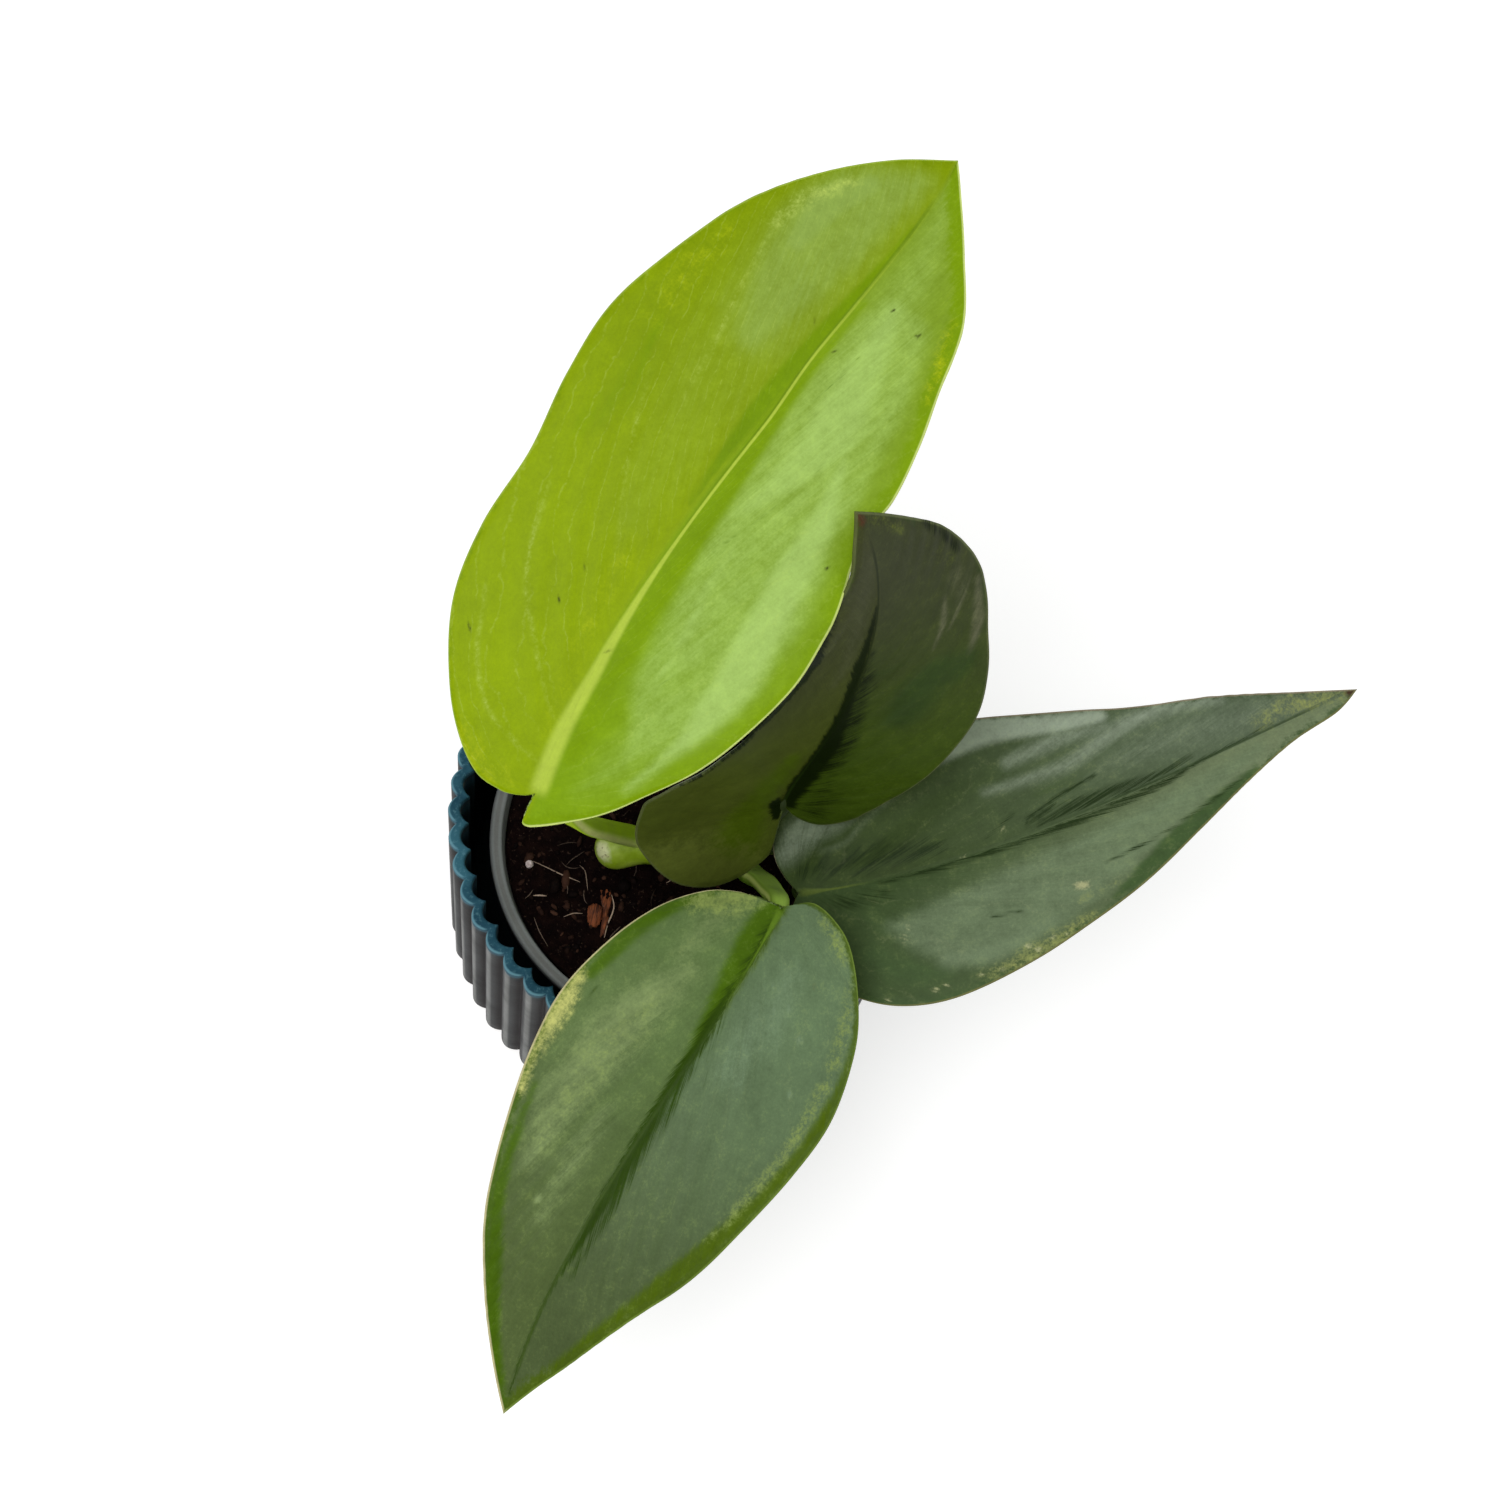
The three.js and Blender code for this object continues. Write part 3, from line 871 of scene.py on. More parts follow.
@dataclass(frozen=True)
class StalkFinish:
    """The finish of a petiole: a body colour, paler wings and lengthwise lines."""

    name: str
    body: Colour
    channel: Colour
    wing: Colour
    rough: float = 0.45

    def material(self) -> bpy.types.Material:
        """Returns the material."""
        paint = Paint(self.name, Specular_IOR_Level=0.25)
        along, around, _ = paint.attribute("place")
        lines = paint.noise(paint.join(along * 0.12, around * 14.0), detail=3, rough=0.6)
        cloud = paint.noise(paint.join(along * 0.3, around * 3.0, 4.0), detail=2)
        turned = abs(around - 0.25)
        in_channel = 1 - paint.rise(turned, 0.13, 0.2)
        on_wing = paint.rise(turned, 0.17, 0.235) * (1 - paint.rise(turned, 0.265, 0.34))
        colour = paint.blend(in_channel, self.body, self.channel)
        colour = paint.blend(on_wing, colour, self.wing)
        tone = (lines - 0.5) * 0.5 + (cloud - 0.5) * 0.35
        colour = paint.toned(colour, tone)
        paint.bump(lines * 0.7 + cloud * 0.3, 0.12 * MM, 0.5)
        return paint.finish(colour, self.rough + (cloud - 0.5) * 0.2)


@dataclass(frozen=True)
class Stalk:
    """A petiole: its path up from the vine, half sizes at both ends and the height of its wings."""

    path: tuple[Point, ...]
    width: Flat
    depth: Flat
    wing: float
    sides: int = 28
    steps: int = 44
    channel: float = 0.75
    rib_steps: int = 60
    rib_start: float = 3.0
    bend_at: float = 1.5
    rib_share: float = 0.93
    rib_width: float = 1.05
    rib_depth: float = 0.8
    rib_tip: float = 0.3


@dataclass(frozen=True)
class Ring:
    """One ring of a swept piece: its place, upper side, half sizes, channel, wings and distance."""

    place: Vector
    up: Vector
    width: float
    depth: float
    channel: float
    wing: float
    along: float

    def section(self, angle: float) -> Flat:
        """Returns the section's offset across and upwards at an angle."""
        sunk = 1 - self.channel * max(0.0, math.sin(angle))
        return (
            self.width * math.cos(angle),
            self.depth * math.sin(angle) * sunk + self.wing * math.cos(angle) ** 2,
        )


def round_ring(place: Vector, radius: float, up: Point = (0, 0, 1), along: float = 0.0) -> Ring:
    """Returns a round ring without channel or wings."""
    return Ring(place, Vector(up), radius, radius, 0.0, 0.0, along)


def tangents(points: Sequence[Vector]) -> list[Vector]:
    """Returns the unit directions of a row of points."""
    last = len(points) - 1
    return [
        (points[min(last, index + 1)] - points[max(0, index - 1)]).normalized()
        for index in range(last + 1)
    ]


def sweep(mesh: bmesh.types.BMesh, rings: Sequence[Ring], sides: int) -> None:
    """Adds a closed swept tube.

    Args:
        mesh: The mesh that the tube is added to; it has the vertex layer `place`.
        rings: The rings from end to end.
        sides: The number of sides round the tube.
    """
    layer = mesh.verts.layers.float_vector["place"]
    runs = tangents([ring.place for ring in rings])
    last = len(rings) - 1

    def put(vertex: bmesh.types.BMVert, column: int, row: int) -> None:
        """Places a vertex; the first and last columns close the ends."""
        index = clamp(column - 1, 0, last)
        ring = rings[int(index)]
        run = runs[int(index)]
        across = ring.up.cross(run).normalized()
        up = run.cross(across)
        share = 0.0 if column in (0, last + 2) else 1.0
        angle = 2 * math.pi * row / sides
        out, rise = ring.section(angle)
        vertex.co = (ring.place + across * (out * share) + up * (rise * share)) * MM
        vertex[layer] = (ring.along, row / sides, 0.0)

    faces = lay_grid(mesh, last + 2, sides, put)
    bmesh.ops.reverse_faces(mesh, faces=faces)


@dataclass
class Leaf:
    """One leaf: its blade, its petiole with the raised rib under the blade, and their finishes.

    `rib_line` gives the places along and off the blade's middle that the visible rib passes.
    """

    node: str
    blade: Blade
    stalk: Stalk
    finish: LeafFinish
    stalk_finish: StalkFinish
    veins: dict[Side, Veins]
    marks: tuple[Mark, ...]
    rib_line: tuple[Flat, ...] = ((0, 0), (100, 0))
    relief: Relief = Relief()
    thickness: float = 0.7
    edge_share: float = 0.5
    edge_reach: float = 1.6
    lobe_steps: int = 50
    body_steps: int = 190
    across_steps: int = 40
    across_power: float = 1.2

    def build(self) -> None:
        """Builds the blade and the petiole."""
        blade = self._blade_piece()
        self._stalk_piece()
        solidify = blade.modifiers.new("thickness", "SOLIDIFY")
        solidify.thickness = self.thickness * MM
        solidify.offset = 0.0
        solidify.vertex_group = "thickness"
        solidify.material_offset = 1
        solidify.material_offset_rim = 0

    def _rib_off(self, along: float) -> float:
        """Returns how far the visible rib lies off the blade's middle."""
        for (start, start_off), (end, end_off) in zip(self.rib_line, self.rib_line[1:]):
            if along < end:
                return mix(start_off, end_off, smooth_step(along, start, end))
        return self.rib_line[-1][1]

    def _blade_piece(self) -> bpy.types.Object:
        """Returns the blade as one sheet along its middle surface."""
        mesh, *layers = start_mesh("place", "vein", "tones", "spots")
        for side in Side:
            stations = self.blade.stations(side, self.lobe_steps, self.body_steps)

            def put(vertex: bmesh.types.BMVert, column: int, row: int) -> None:
                """Places a vertex on this half of the blade."""
                station = stations[column]
                share = 1 - (1 - row / self.across_steps) ** self.across_power
                along = mix(station.foot, station.along, share)
                away = station.away * share
                off = side.value * away
                span = math.hypot(station.along - station.foot, station.away)
                across, reach = self.veins[side].locate(along, away)
                tones = [0.0] * len(Tone)
                for mark in self.marks:
                    tone = mark.tone.value
                    value = mark.share(along, off)
                    tones[tone] = tones[tone] + value if mark.tone is Tone.RISE else max(tones[tone], value)
                from_rib = off - self._rib_off(along)
                lift = self.relief.height(along, abs(from_rib), side, self.blade.length, across)
                vertex.co = self.blade.point(along, away, side, lift + tones[Tone.RISE.value]) * MM
                place = (along, off, (1 - share) * span)
                for layer, value in zip(layers, (place, (across, reach, from_rib), tones[0:3], tones[3:6])):
                    vertex[layer] = value

            faces = lay_grid(mesh, len(stations) - 1, self.across_steps, put)
            if side is Side.RIGHT:
                bmesh.ops.reverse_faces(mesh, faces=faces)
        weld(mesh)
        edges = [vertex[layers[0]].z for vertex in mesh.verts]
        finish = self.finish
        piece = add_piece(mesh, self.node + "_blade", self.node, finish.upper(), finish.lower())
        group = piece.vertex_groups.new(name="thickness")
        for index, edge in enumerate(edges):
            group.add([index], mix(self.edge_share, 1.0, smooth_step(edge, 0, self.edge_reach)), "REPLACE")
        return piece

    def _stalk_piece(self) -> bpy.types.Object:
        """Returns the petiole, which runs on under the blade as its raised rib."""
        mesh = start_mesh("place")[0]
        sweep(mesh, self._stalk_rings(), self.stalk.sides)
        weld(mesh)
        return add_piece(mesh, self.node + "_petiole", self.node, self.stalk_finish.material())

    def _under(self, along: float, drop: float) -> Vector:
        """Returns a point under the rib, deeper where the blade is sunk along it."""
        sunk = max(self.relief.rib_depth, 0.0) * smooth_step(along, -2, 6)
        return self.blade.rib_point(along) - self.blade.frame_at(along)[1] * (drop + sunk)

    def _stalk_rings(self) -> list[Ring]:
        """Returns the rings of the petiole and then of the rib."""
        stalk = self.stalk
        bend = self._under(stalk.bend_at, stalk.rib_depth)
        places = curve_through([*stalk.path, tuple(bend)], stalk.steps)
        runs = tangents(places)
        ups = [self.blade.frame_at(0)[1]]
        for index in range(len(places) - 2, -1, -1):
            ups.append(runs[index + 1].rotation_difference(runs[index]) @ ups[-1])
        ups.reverse()
        rings = []
        reached = 0.0
        for index, place in enumerate(places[:-1]):
            share = index / stalk.steps
            reached += (places[index + 1] - place).length
            rings.append(Ring(
                place, ups[index], mix(*stalk.width, share), mix(*stalk.depth, share),
                stalk.channel * (1 - share), stalk.wing * (1 - share), reached,
            ))
        end = stalk.rib_share * self.blade.length
        for step in range(stalk.rib_steps + 1):
            share = step / stalk.rib_steps
            along = mix(stalk.rib_start, end, share)
            depth = mix(stalk.rib_depth, stalk.rib_tip, share)
            rings.append(Ring(
                self._under(along, depth), self.blade.frame_at(along)[1],
                mix(stalk.rib_width, stalk.rib_tip, share), depth, 0.0, 0.0, reached + along,
            ))
        return rings


@dataclass(frozen=True)
class GlazeFinish:
    """The outer pot's glaze: dark grey, browner in its grooves as painted shade, teal where it breaks on
    the rim.
    """

    body: Colour = shade(57, 59, 60)
    dark_glaze_and_groove_shade: Colour = shade(26, 20, 21)
    crest_highlight: Colour = shade(140, 141, 139)
    rim: Colour = shade(52, 96, 112)
    rim_dark: Colour = shade(32, 66, 82)
    rim_speckle_and_highlight: Colour = shade(104, 150, 164)
    # The painted shade deep inside the pot
    inside: Colour = shade(20, 30, 34)
    base: Colour = shade(120, 108, 96)
    drip_height: float = 48.6
    lip_path: float = 1.12

    def material(self) -> bpy.types.Material:
        """Returns the material, which reads the wall's own attribute: wave, height and path."""
        paint = Paint("reactive_glaze", Specular_IOR_Level=0.02)
        wave, height, path = paint.attribute("wall")
        place = paint.place()
        cloud = paint.noise(place, 90.0, 4.0, 0.6)
        speckle = paint.noise(place, 1500.0, 3.0, 0.7)
        runs = paint.noise(paint.add("ShaderNodeVectorMath", {"operation": "MULTIPLY"},
                                     {0: place, 1: (420.0, 420.0, 60.0)}), 1.0, 3.0, 0.6)
        # Painted shade in the grooves between the flutes; the same dark colour lays random clouds below
        colour = paint.blend(paint.rise(wave, 0.34, 0.98), self.dark_glaze_and_groove_shade, self.body)
        # Painted highlights along the middle of each flute
        colour = paint.blend(paint.rise(wave, 0.88, 1.0) * 0.7, colour, self.crest_highlight)
        colour = paint.blend(paint.rise(cloud, 0.35, 0.7) * 0.45, colour, self.dark_glaze_and_groove_shade)
        colour = paint.toned(colour, (runs - 0.5) * 0.5 + (speckle - 0.5) * 0.35)
        drip = self.drip_height + (runs - 0.5) * 1.6 + (cloud - 0.5) * 1.2 - wave * 0.25
        rim = paint.blend(paint.rise(cloud, 0.4, 0.62), self.rim_dark, self.rim)
        rim = paint.blend(paint.rise(speckle, 0.5, 0.7) * 0.3, rim, self.rim_speckle_and_highlight)
        colour = paint.blend(paint.rise(height, drip - 0.35, drip + 0.45), colour, rim)
        # Painted shade on the inner wall, darkening deep down towards near black
        inner = paint.rise(path, 1.9, 2.1)
        deep = paint.blend(paint.rise(height, 41.0, 49.6), self.inside, self.rim_dark)
        colour = paint.blend(inner, colour, deep)
        # Painted highlight along the rim's outer lip; the same colour lays the rim's light speckles
        lip_highlight = (1 - paint.rise(abs(path - self.lip_path), 0.03, 0.16)) * paint.rise(wave, 0.0, 0.5)
        colour = paint.blend(lip_highlight * 0.75, colour, self.rim_speckle_and_highlight)
        colour = paint.blend(1 - paint.rise(height, 0.3, 0.9), colour, self.base)
        paint.bump(runs * 0.35 + cloud * 0.4 + speckle * 0.25, 0.2 * MM, 0.45)
        return paint.finish(colour, 0.42 + (cloud - 0.5) * 0.25 + (1 - wave) * 0.06)


@dataclass
class OuterPot:
    """The fluted outer pot."""

    height: float = 50.0
    bulge_radius: float = 35.5
    valley_radius: float = 34.2
    base_scale: float = 0.985
    wall: float = 1.8
    floor: float = 2.0
    flutes: int = 50
    first_bulge: float = 3.085
    bulge_power: float = 0.8
    steps_per_flute: int = 14
    outer_steps: int = 12
    inner_steps: int = 8
    base_inset: float = 20.0
    round_edge: float = 0.55
    finish: GlazeFinish = GlazeFinish()

    def wave(self, angle: float) -> float:
        """Returns 1 on a bulge and 0 in a valley."""
        return abs(math.cos(self.flutes / 2 * (angle - self.first_bulge))) ** self.bulge_power

    def _profile(self) -> list[tuple[float, float, float]]:
        """Returns inset, height and path number of each ring from the base round to the floor."""
        upper = self.height - self.round_edge
        rings = [(self.base_inset, 0.0, 0.0), (0.8, 0.0, 0.2), (0.2, 0.25, 0.4), (0.0, 0.8, 0.5)]
        for step in range(1, self.outer_steps + 1):
            share = step / self.outer_steps
            rings.append((0.0, mix(0.8, upper, share), mix(0.5, 1.0, share)))
        for step, near, far in quarter_round()[1:]:
            rings.append((self.round_edge * near, self.height - self.round_edge * far, 1.0 + 0.08 * step))
        for step, near, far in quarter_round():
            inset = self.wall - self.round_edge * far
            rings.append((inset, self.height - self.round_edge * near, 1.6 + 0.08 * step))
        for step in range(1, self.inner_steps + 1):
            share = step / self.inner_steps
            rings.append((self.wall, mix(upper, self.floor + 0.6, share), 2.0 + share))
        return rings + [(self.wall + 0.2, self.floor + 0.1, 3.1), (self.wall + 1.2, self.floor, 3.2)]

    def build(self) -> None:
        """Builds the pot as one ring of the wall's profile, drawn out and capped."""
        mesh, layer = start_mesh("wall")
        count = self.flutes * self.steps_per_flute
        rings = self._profile()

        def put(vertex: bmesh.types.BMVert, column: int, row: int) -> None:
            """Places a vertex of the wall."""
            angle = self.first_bulge + 2 * math.pi * column / count
            inset, height, path = rings[row]
            wave = self.wave(angle)
            scale = mix(self.base_scale, 1.0, height / self.height)
            shown = 0.0 if inset == self.base_inset else wave
            radius = mix(self.valley_radius, self.bulge_radius, shown) * scale - inset
            vertex.co = Vector((radius * math.cos(angle), radius * math.sin(angle), height)) * MM
            vertex[layer] = (wave, height, path)

        lay_grid(mesh, count, len(rings) - 1, put)
        weld(mesh)
        open_edges = [edge for edge in mesh.edges if edge.is_boundary]
        bmesh.ops.holes_fill(mesh, edges=open_edges, sides=0)
        bmesh.ops.recalc_face_normals(mesh, faces=mesh.faces)
        caps = [face for face in mesh.faces if len(face.verts) > 4]
        bmesh.ops.triangulate(mesh, faces=caps)
        add_piece(mesh, "fluted_pot", "outer_pot", self.finish.material())


@dataclass(frozen=True)
class PlasticFinish:
    """The grow pot's soft grey plastic."""

    body: Colour = shade(114, 115, 114)
    worn: Colour = shade(138, 144, 145)
    # The painted shade of the wall below the rim
    dark: Colour = shade(34, 37, 39)
    shaded: Flat = (30.0, 37.0)

    def material(self) -> bpy.types.Material:
        """Returns the material, with paler edges, fine scuffs and painted shade on the wall below the rim.
        """
        paint = Paint("soft_grey_plastic", Specular_IOR_Level=0.15)
        path, height, around = paint.attribute("wall")
        place = paint.place()
        cloud = paint.noise(place, 120.0, 3.0, 0.6)
        grain = paint.noise(place, 2600.0, 2.0, 0.6)
        scuffs = paint.noise(paint.join(around * 300.0, path * 9.0), 1.0, 3.0, 0.65)
        # Painted shade: the wall below the rim, in the gap between the pots, is dark
        colour = paint.blend(paint.rise(height, *self.shaded), self.dark, self.body)
        inner_edge = 1 - paint.rise(abs(path - 2.0), 0.05, 0.3)
        edges = (1 - paint.rise(abs(path - 1.0), 0.05, 0.3)).most(inner_edge)
        colour = paint.blend(edges * 0.45, colour, self.worn)
        colour = paint.blend(paint.rise(scuffs, 0.55, 0.75) * 0.3, colour, self.worn)
        colour = paint.toned(colour, (cloud - 0.5) * 0.5 + (grain - 0.5) * 0.25)
        paint.bump(grain * 0.5 + scuffs * 0.5, 0.06 * MM, 0.5)
        return paint.finish(colour, 0.46 + (cloud - 0.5) * 0.3)


@dataclass
class GrowPot:
    """The soft grow pot inside the outer pot."""

    offset_x: float = 0.8
    rim_radius: float = 30.0
    rim_inner_radius: float = 28.1
    rim_top: float = 39.0
    rim_depth: float = 3.0
    wall: float = 1.2
    bottom_radius: float = 23.0
    bottom: float = 2.3
    floor: float = 1.5
    lip: float = 0.55
    steps: int = 160
    finish: PlasticFinish = PlasticFinish()

    def inside(self, height: float) -> float:
        """Returns the radius of the inner face at a height."""
        share = (height - self.bottom) / (self.rim_top - self.bottom)
        return mix(self.bottom_radius - self.wall, self.rim_inner_radius, share)

    def _profile(self) -> list[tuple[float, float, float]]:
        """Returns radius, height and path number of the section, from the axis under the floor."""
        under = self.rim_top - self.rim_depth
        floor_top = self.bottom + self.floor
        points = [
            (0.0, self.bottom, 0.0), (self.bottom_radius - 0.8, self.bottom, 0.1),
            (self.bottom_radius - 0.1, self.bottom + 0.5, 0.2),
            (self.inside(under) + self.wall, under, 0.6), (self.rim_radius - 0.3, under + 0.1, 0.7),
            (self.rim_radius, under + 0.4, 0.75),
        ]
        for step, near, far in quarter_round():
            radius = self.rim_radius - self.lip * near
            points.append((radius, self.rim_top - self.lip * far, 0.9 + 0.05 * step))
        for step, near, far in quarter_round():
            radius = self.rim_inner_radius + self.lip * far
            points.append((radius, self.rim_top - self.lip * near, 1.9 + 0.05 * step))
        return points + [
            (self.inside(34.0), 34.0, 2.4), (self.inside(floor_top + 0.6), floor_top + 0.6, 2.8),
            (self.inside(floor_top) - 0.6, floor_top, 2.9), (0.0, floor_top, 3.0),
        ]

    def build(self) -> None:
        """Builds the pot by spinning its section."""
        mesh, layer = start_mesh("wall")
        section = []
        for radius, height, path in self._profile():
            vertex = mesh.verts.new(Vector((radius, 0.0, height)) * MM)
            vertex[layer] = (path, height, 0.0)
            section.append(vertex)
        edges = [mesh.edges.new(pair) for pair in zip(section, section[1:])]
        bmesh.ops.spin(
            mesh, geom=section + edges, axis=(0.0, 0.0, 1.0), cent=(0.0, 0.0, 0.0), dvec=(0.0, 0.0, 0.0),
            angle=2 * math.pi, steps=self.steps, use_merge=True, use_duplicate=False,
        )
        weld(mesh, outward=True)
        for vertex in mesh.verts:
            path, height, _ = vertex[layer]
            vertex[layer] = (path, height, math.atan2(vertex.co.y, vertex.co.x))
        bmesh.ops.translate(mesh, verts=mesh.verts, vec=(self.offset_x * MM, 0.0, 0.0))
        add_piece(mesh, "grow_pot_shell", "grow_pot", self.finish.material())


@dataclass(frozen=True)
class SoilFinish:
    """The potting soil and the small things that lie in it."""

    # The soil's colours are darker than wet peat, as painted shade of the leaves over the pot
    dark: Colour = shade(12, 6, 6)
    brown: Colour = shade(24, 13, 11)
    light: Colour = shade(84, 66, 56)

    def ground(self) -> bpy.types.Material:
        """Returns the material of the soil's surface."""
        paint = Paint("potting_soil", Specular_IOR_Level=0.02)
        place = paint.place()
        clumps = paint.noise(place, 420.0, 5.0, 0.7)
        fleck = paint.noise(place, 1900.0, 3.0, 0.7)
        colour = paint.blend(paint.rise(clumps, 0.42, 0.68), self.dark, self.brown)
        colour = paint.blend(paint.rise(fleck, 0.62, 0.7) * 0.6, colour, self.light)
        paint.bump(clumps * 0.7 + fleck * 0.3, 1.2 * MM, 0.9)
        return paint.finish(colour, 0.85 + (fleck - 0.5) * 0.2)

    def scrap(self, name: str, low: Colour, high: Colour, rough: float = 0.8) -> bpy.types.Material:
        """Returns the material of crumbs or fibres, toned by each one's own attribute.

        Args:
            name: The material's name.
            low: The darkest colour.
            high: The lightest colour.
            rough: The roughness.

        Returns:
            The material.
        """
        paint = Paint(name, Specular_IOR_Level=0.06)
        tone = paint.attribute("tone")[0]
        grain = paint.noise(paint.place(), 2200.0, 3.0, 0.7)
        colour = paint.blend(paint.rise(tone + (grain - 0.5) * 0.5, 0.0, 1.0), low, high)
        paint.bump(grain, 0.25 * MM, 0.7)
        return paint.finish(colour, rough + (grain - 0.5) * 0.2)

    def bark(self) -> bpy.types.Material:
        """Returns the material of the bark chip, with fibres along its length."""
        paint = Paint("bark_chip", Specular_IOR_Level=0.3)
        along, off, _ = paint.attribute("tone")
        fibres = paint.noise(paint.join(along * 0.35, off * 3.4), 1.0, 4.0, 0.65)
        cloud = paint.noise(paint.place(), 420.0, 3.0, 0.6)
        colour = paint.blend(paint.rise(fibres, 0.35, 0.62), shade(56, 26, 16), shade(140, 76, 42))
        colour = paint.blend(paint.rise(cloud, 0.5, 0.7) * 0.7, colour, shade(44, 20, 14))
        paint.bump(fibres * 0.7 + cloud * 0.3, 0.6 * MM, 0.9)
        return paint.finish(colour, 0.7 + (fibres - 0.5) * 0.2)

    def perlite(self) -> bpy.types.Material:
        """Returns the material of the white bead."""
        paint = Paint("perlite", Specular_IOR_Level=0.3)
        pores = paint.noise(paint.place(), 2400.0, 3.0, 0.7)
        colour = paint.blend(paint.rise(pores, 0.4, 0.65), shade(170, 152, 150), shade(228, 214, 214))
        paint.bump(pores, 0.3 * MM, 0.7)
        return paint.finish(colour, 0.75 + (pores - 0.5) * 0.2)


@dataclass
class Soil:
    """The soil in the grow pot, with its crumbs, fibres, root, bead and bark chip."""

    centre_x: float = 0.8
    top: float = 36.4
    mound: float = 0.45
    radius: float = 27.5
    bottom: float = 4.1
    bottom_radius: float = 21.6
    sides: int = 150
    rings: int = 46
    crumbs: int = 520
    crumb_size: Flat = (0.25, 0.6)
    fibres: int = 130
    seed: int = 11
    bead: Point = (-21.8, -8.7, 0.62)
    strands: tuple[tuple[float, float, tuple[Flat, ...]], ...] = (
        (0.1, 0.72, ((-21.4, -8.1), (-19.1, -8.5), (-17.0, -8.9), (-15.0, -9.3), (-13.7, -9.6))),
        (0.09, 0.55, ((-14.4, -6.9), (-13.4, -7.6), (-12.8, -9.1), (-12.3, -10.6))),
        (0.15, 0.85, ((-20.1, -13.3), (-19.1, -13.0), (-18.1, -12.8))),
        (0.1, 0.6, ((-14.9, -15.4), (-13.6, -14.6), (-12.2, -14.4))),
        (0.08, 0.4, ((-19.2, -16.6), (-18.0, -18.4), (-16.1, -20.5))),
        (0.14, 0.8, ((-8.6, -10.6), (-7.9, -12.1), (-7.9, -13.5), (-8.2, -15.0), (-8.2, -17.2))),
    )
    chips: tuple[tuple[Flat, ...], ...] = (
        ((-11.7, -13.0), (-10.9, -12.3), (-9.8, -12.4), (-9.3, -13.4), (-9.3, -14.8), (-9.9, -15.9),
         (-10.9, -15.7), (-11.5, -14.4)),
        ((-10.6, -10.3), (-9.7, -9.8), (-8.6, -10.2), (-8.3, -11.7), (-8.4, -13.3), (-8.1, -15.0),
         (-8.4, -16.7), (-8.9, -17.1), (-9.1, -15.4), (-9.3, -13.5), (-9.9, -11.9)),
    )
    finish: SoilFinish = SoilFinish()

    def surface(self, x: float, y: float) -> float:
        """Returns the height of the soil.

        Args:
            x: The place to the right, in millimetres.
            y: The place to the back, in millimetres.

        Returns:
            The height in millimetres.
        """
        across = x - self.centre_x
        rolling = math.sin(0.31 * across + 0.8) * math.cos(0.27 * y - 0.4)
        edge = math.hypot(across, y) / self.radius
        lump = noise.noise(Vector((x * 0.35, y * 0.35, 1.7))) * 0.55
        lump += noise.noise(Vector((x * 1.1, y * 1.1, 4.2))) * 0.3
        return self.top + self.mound * rolling * (1 - edge**4) + lump

    def build(self) -> None:
        """Builds the soil and all that lies on it."""
        for build in (self._ground, self._crumbs, self._fibres, self._bead, self._chips):
            build()

    def _ground(self) -> None:
        """Builds the body of the soil, closed at its middle and underneath."""
        mesh = bmesh.new()

        def put(vertex: bmesh.types.BMVert, column: int, row: int) -> None:
            """Places a vertex of the top, the side or the underside."""
            angle = 2 * math.pi * column / self.sides
            radius = self.radius * (self.rings - row) / (self.rings - 2)
            if row < 2:
                radius = self.bottom_radius * row
            x = self.centre_x + radius * math.cos(angle)
            y = radius * math.sin(angle)
            height = self.bottom
            if row > 1:
                height = self.surface(x, y) + noise.noise(Vector((x * 3.1, y * 3.1, 9.0))) * 0.25
            vertex.co = Vector((x, y, height)) * MM

        lay_grid(mesh, self.sides, self.rings, put)
        weld(mesh, outward=True)
        add_piece(mesh, "soil_body", "soil", self.finish.ground())

    def _spot(self, draw: random.Random, inset: float) -> Flat:
        """Draws a spot on the soil that stays inside its edge by an inset."""
        angle = draw.uniform(0, 2 * math.pi)
        radius = (self.radius - inset) * math.sqrt(draw.uniform(0, 1))
        return self.centre_x + radius * math.cos(angle), radius * math.sin(angle)

    def _crumbs(self) -> None:
        """Scatters crumbs of peat and bark on the soil."""
        draw = random.Random(self.seed)
        mesh, tone_layer = start_mesh("tone")
        for _ in range(self.crumbs):
            x, y = self._spot(draw, 1.2)
            size = draw.uniform(*self.crumb_size) * (2.1 if draw.random() < 0.14 else 1.0)
            tone = draw.uniform(0, 0.55) + (0.4 if draw.random() < 0.1 else 0)
            verts = bmesh.ops.create_icosphere(mesh, subdivisions=1, radius=size * MM)["verts"]
            stretch = Vector((draw.uniform(0.7, 1.9), draw.uniform(0.6, 1.1), draw.uniform(0.45, 0.8)))
            turn = Matrix.Rotation(draw.uniform(0, 2 * math.pi), 4, "Z")
            turn = turn @ Matrix.Rotation(draw.uniform(-0.6, 0.6), 4, "X")
            place = Vector((x, y, self.surface(x, y) + size * 0.2)) * MM
            for vertex in verts:
                vertex.co *= draw.uniform(0.75, 1.25)
                vertex.co = Vector(a * b for a, b in zip(vertex.co, stretch))
                vertex[tone_layer] = (tone, 0.0, 0.0)
            bmesh.ops.transform(mesh, matrix=Matrix.Translation(place) @ turn, verts=verts)
        material = self.finish.scrap("peat_crumbs", shade(10, 5, 5), shade(70, 46, 36))
        add_piece(mesh, "soil_crumbs", "soil", material)

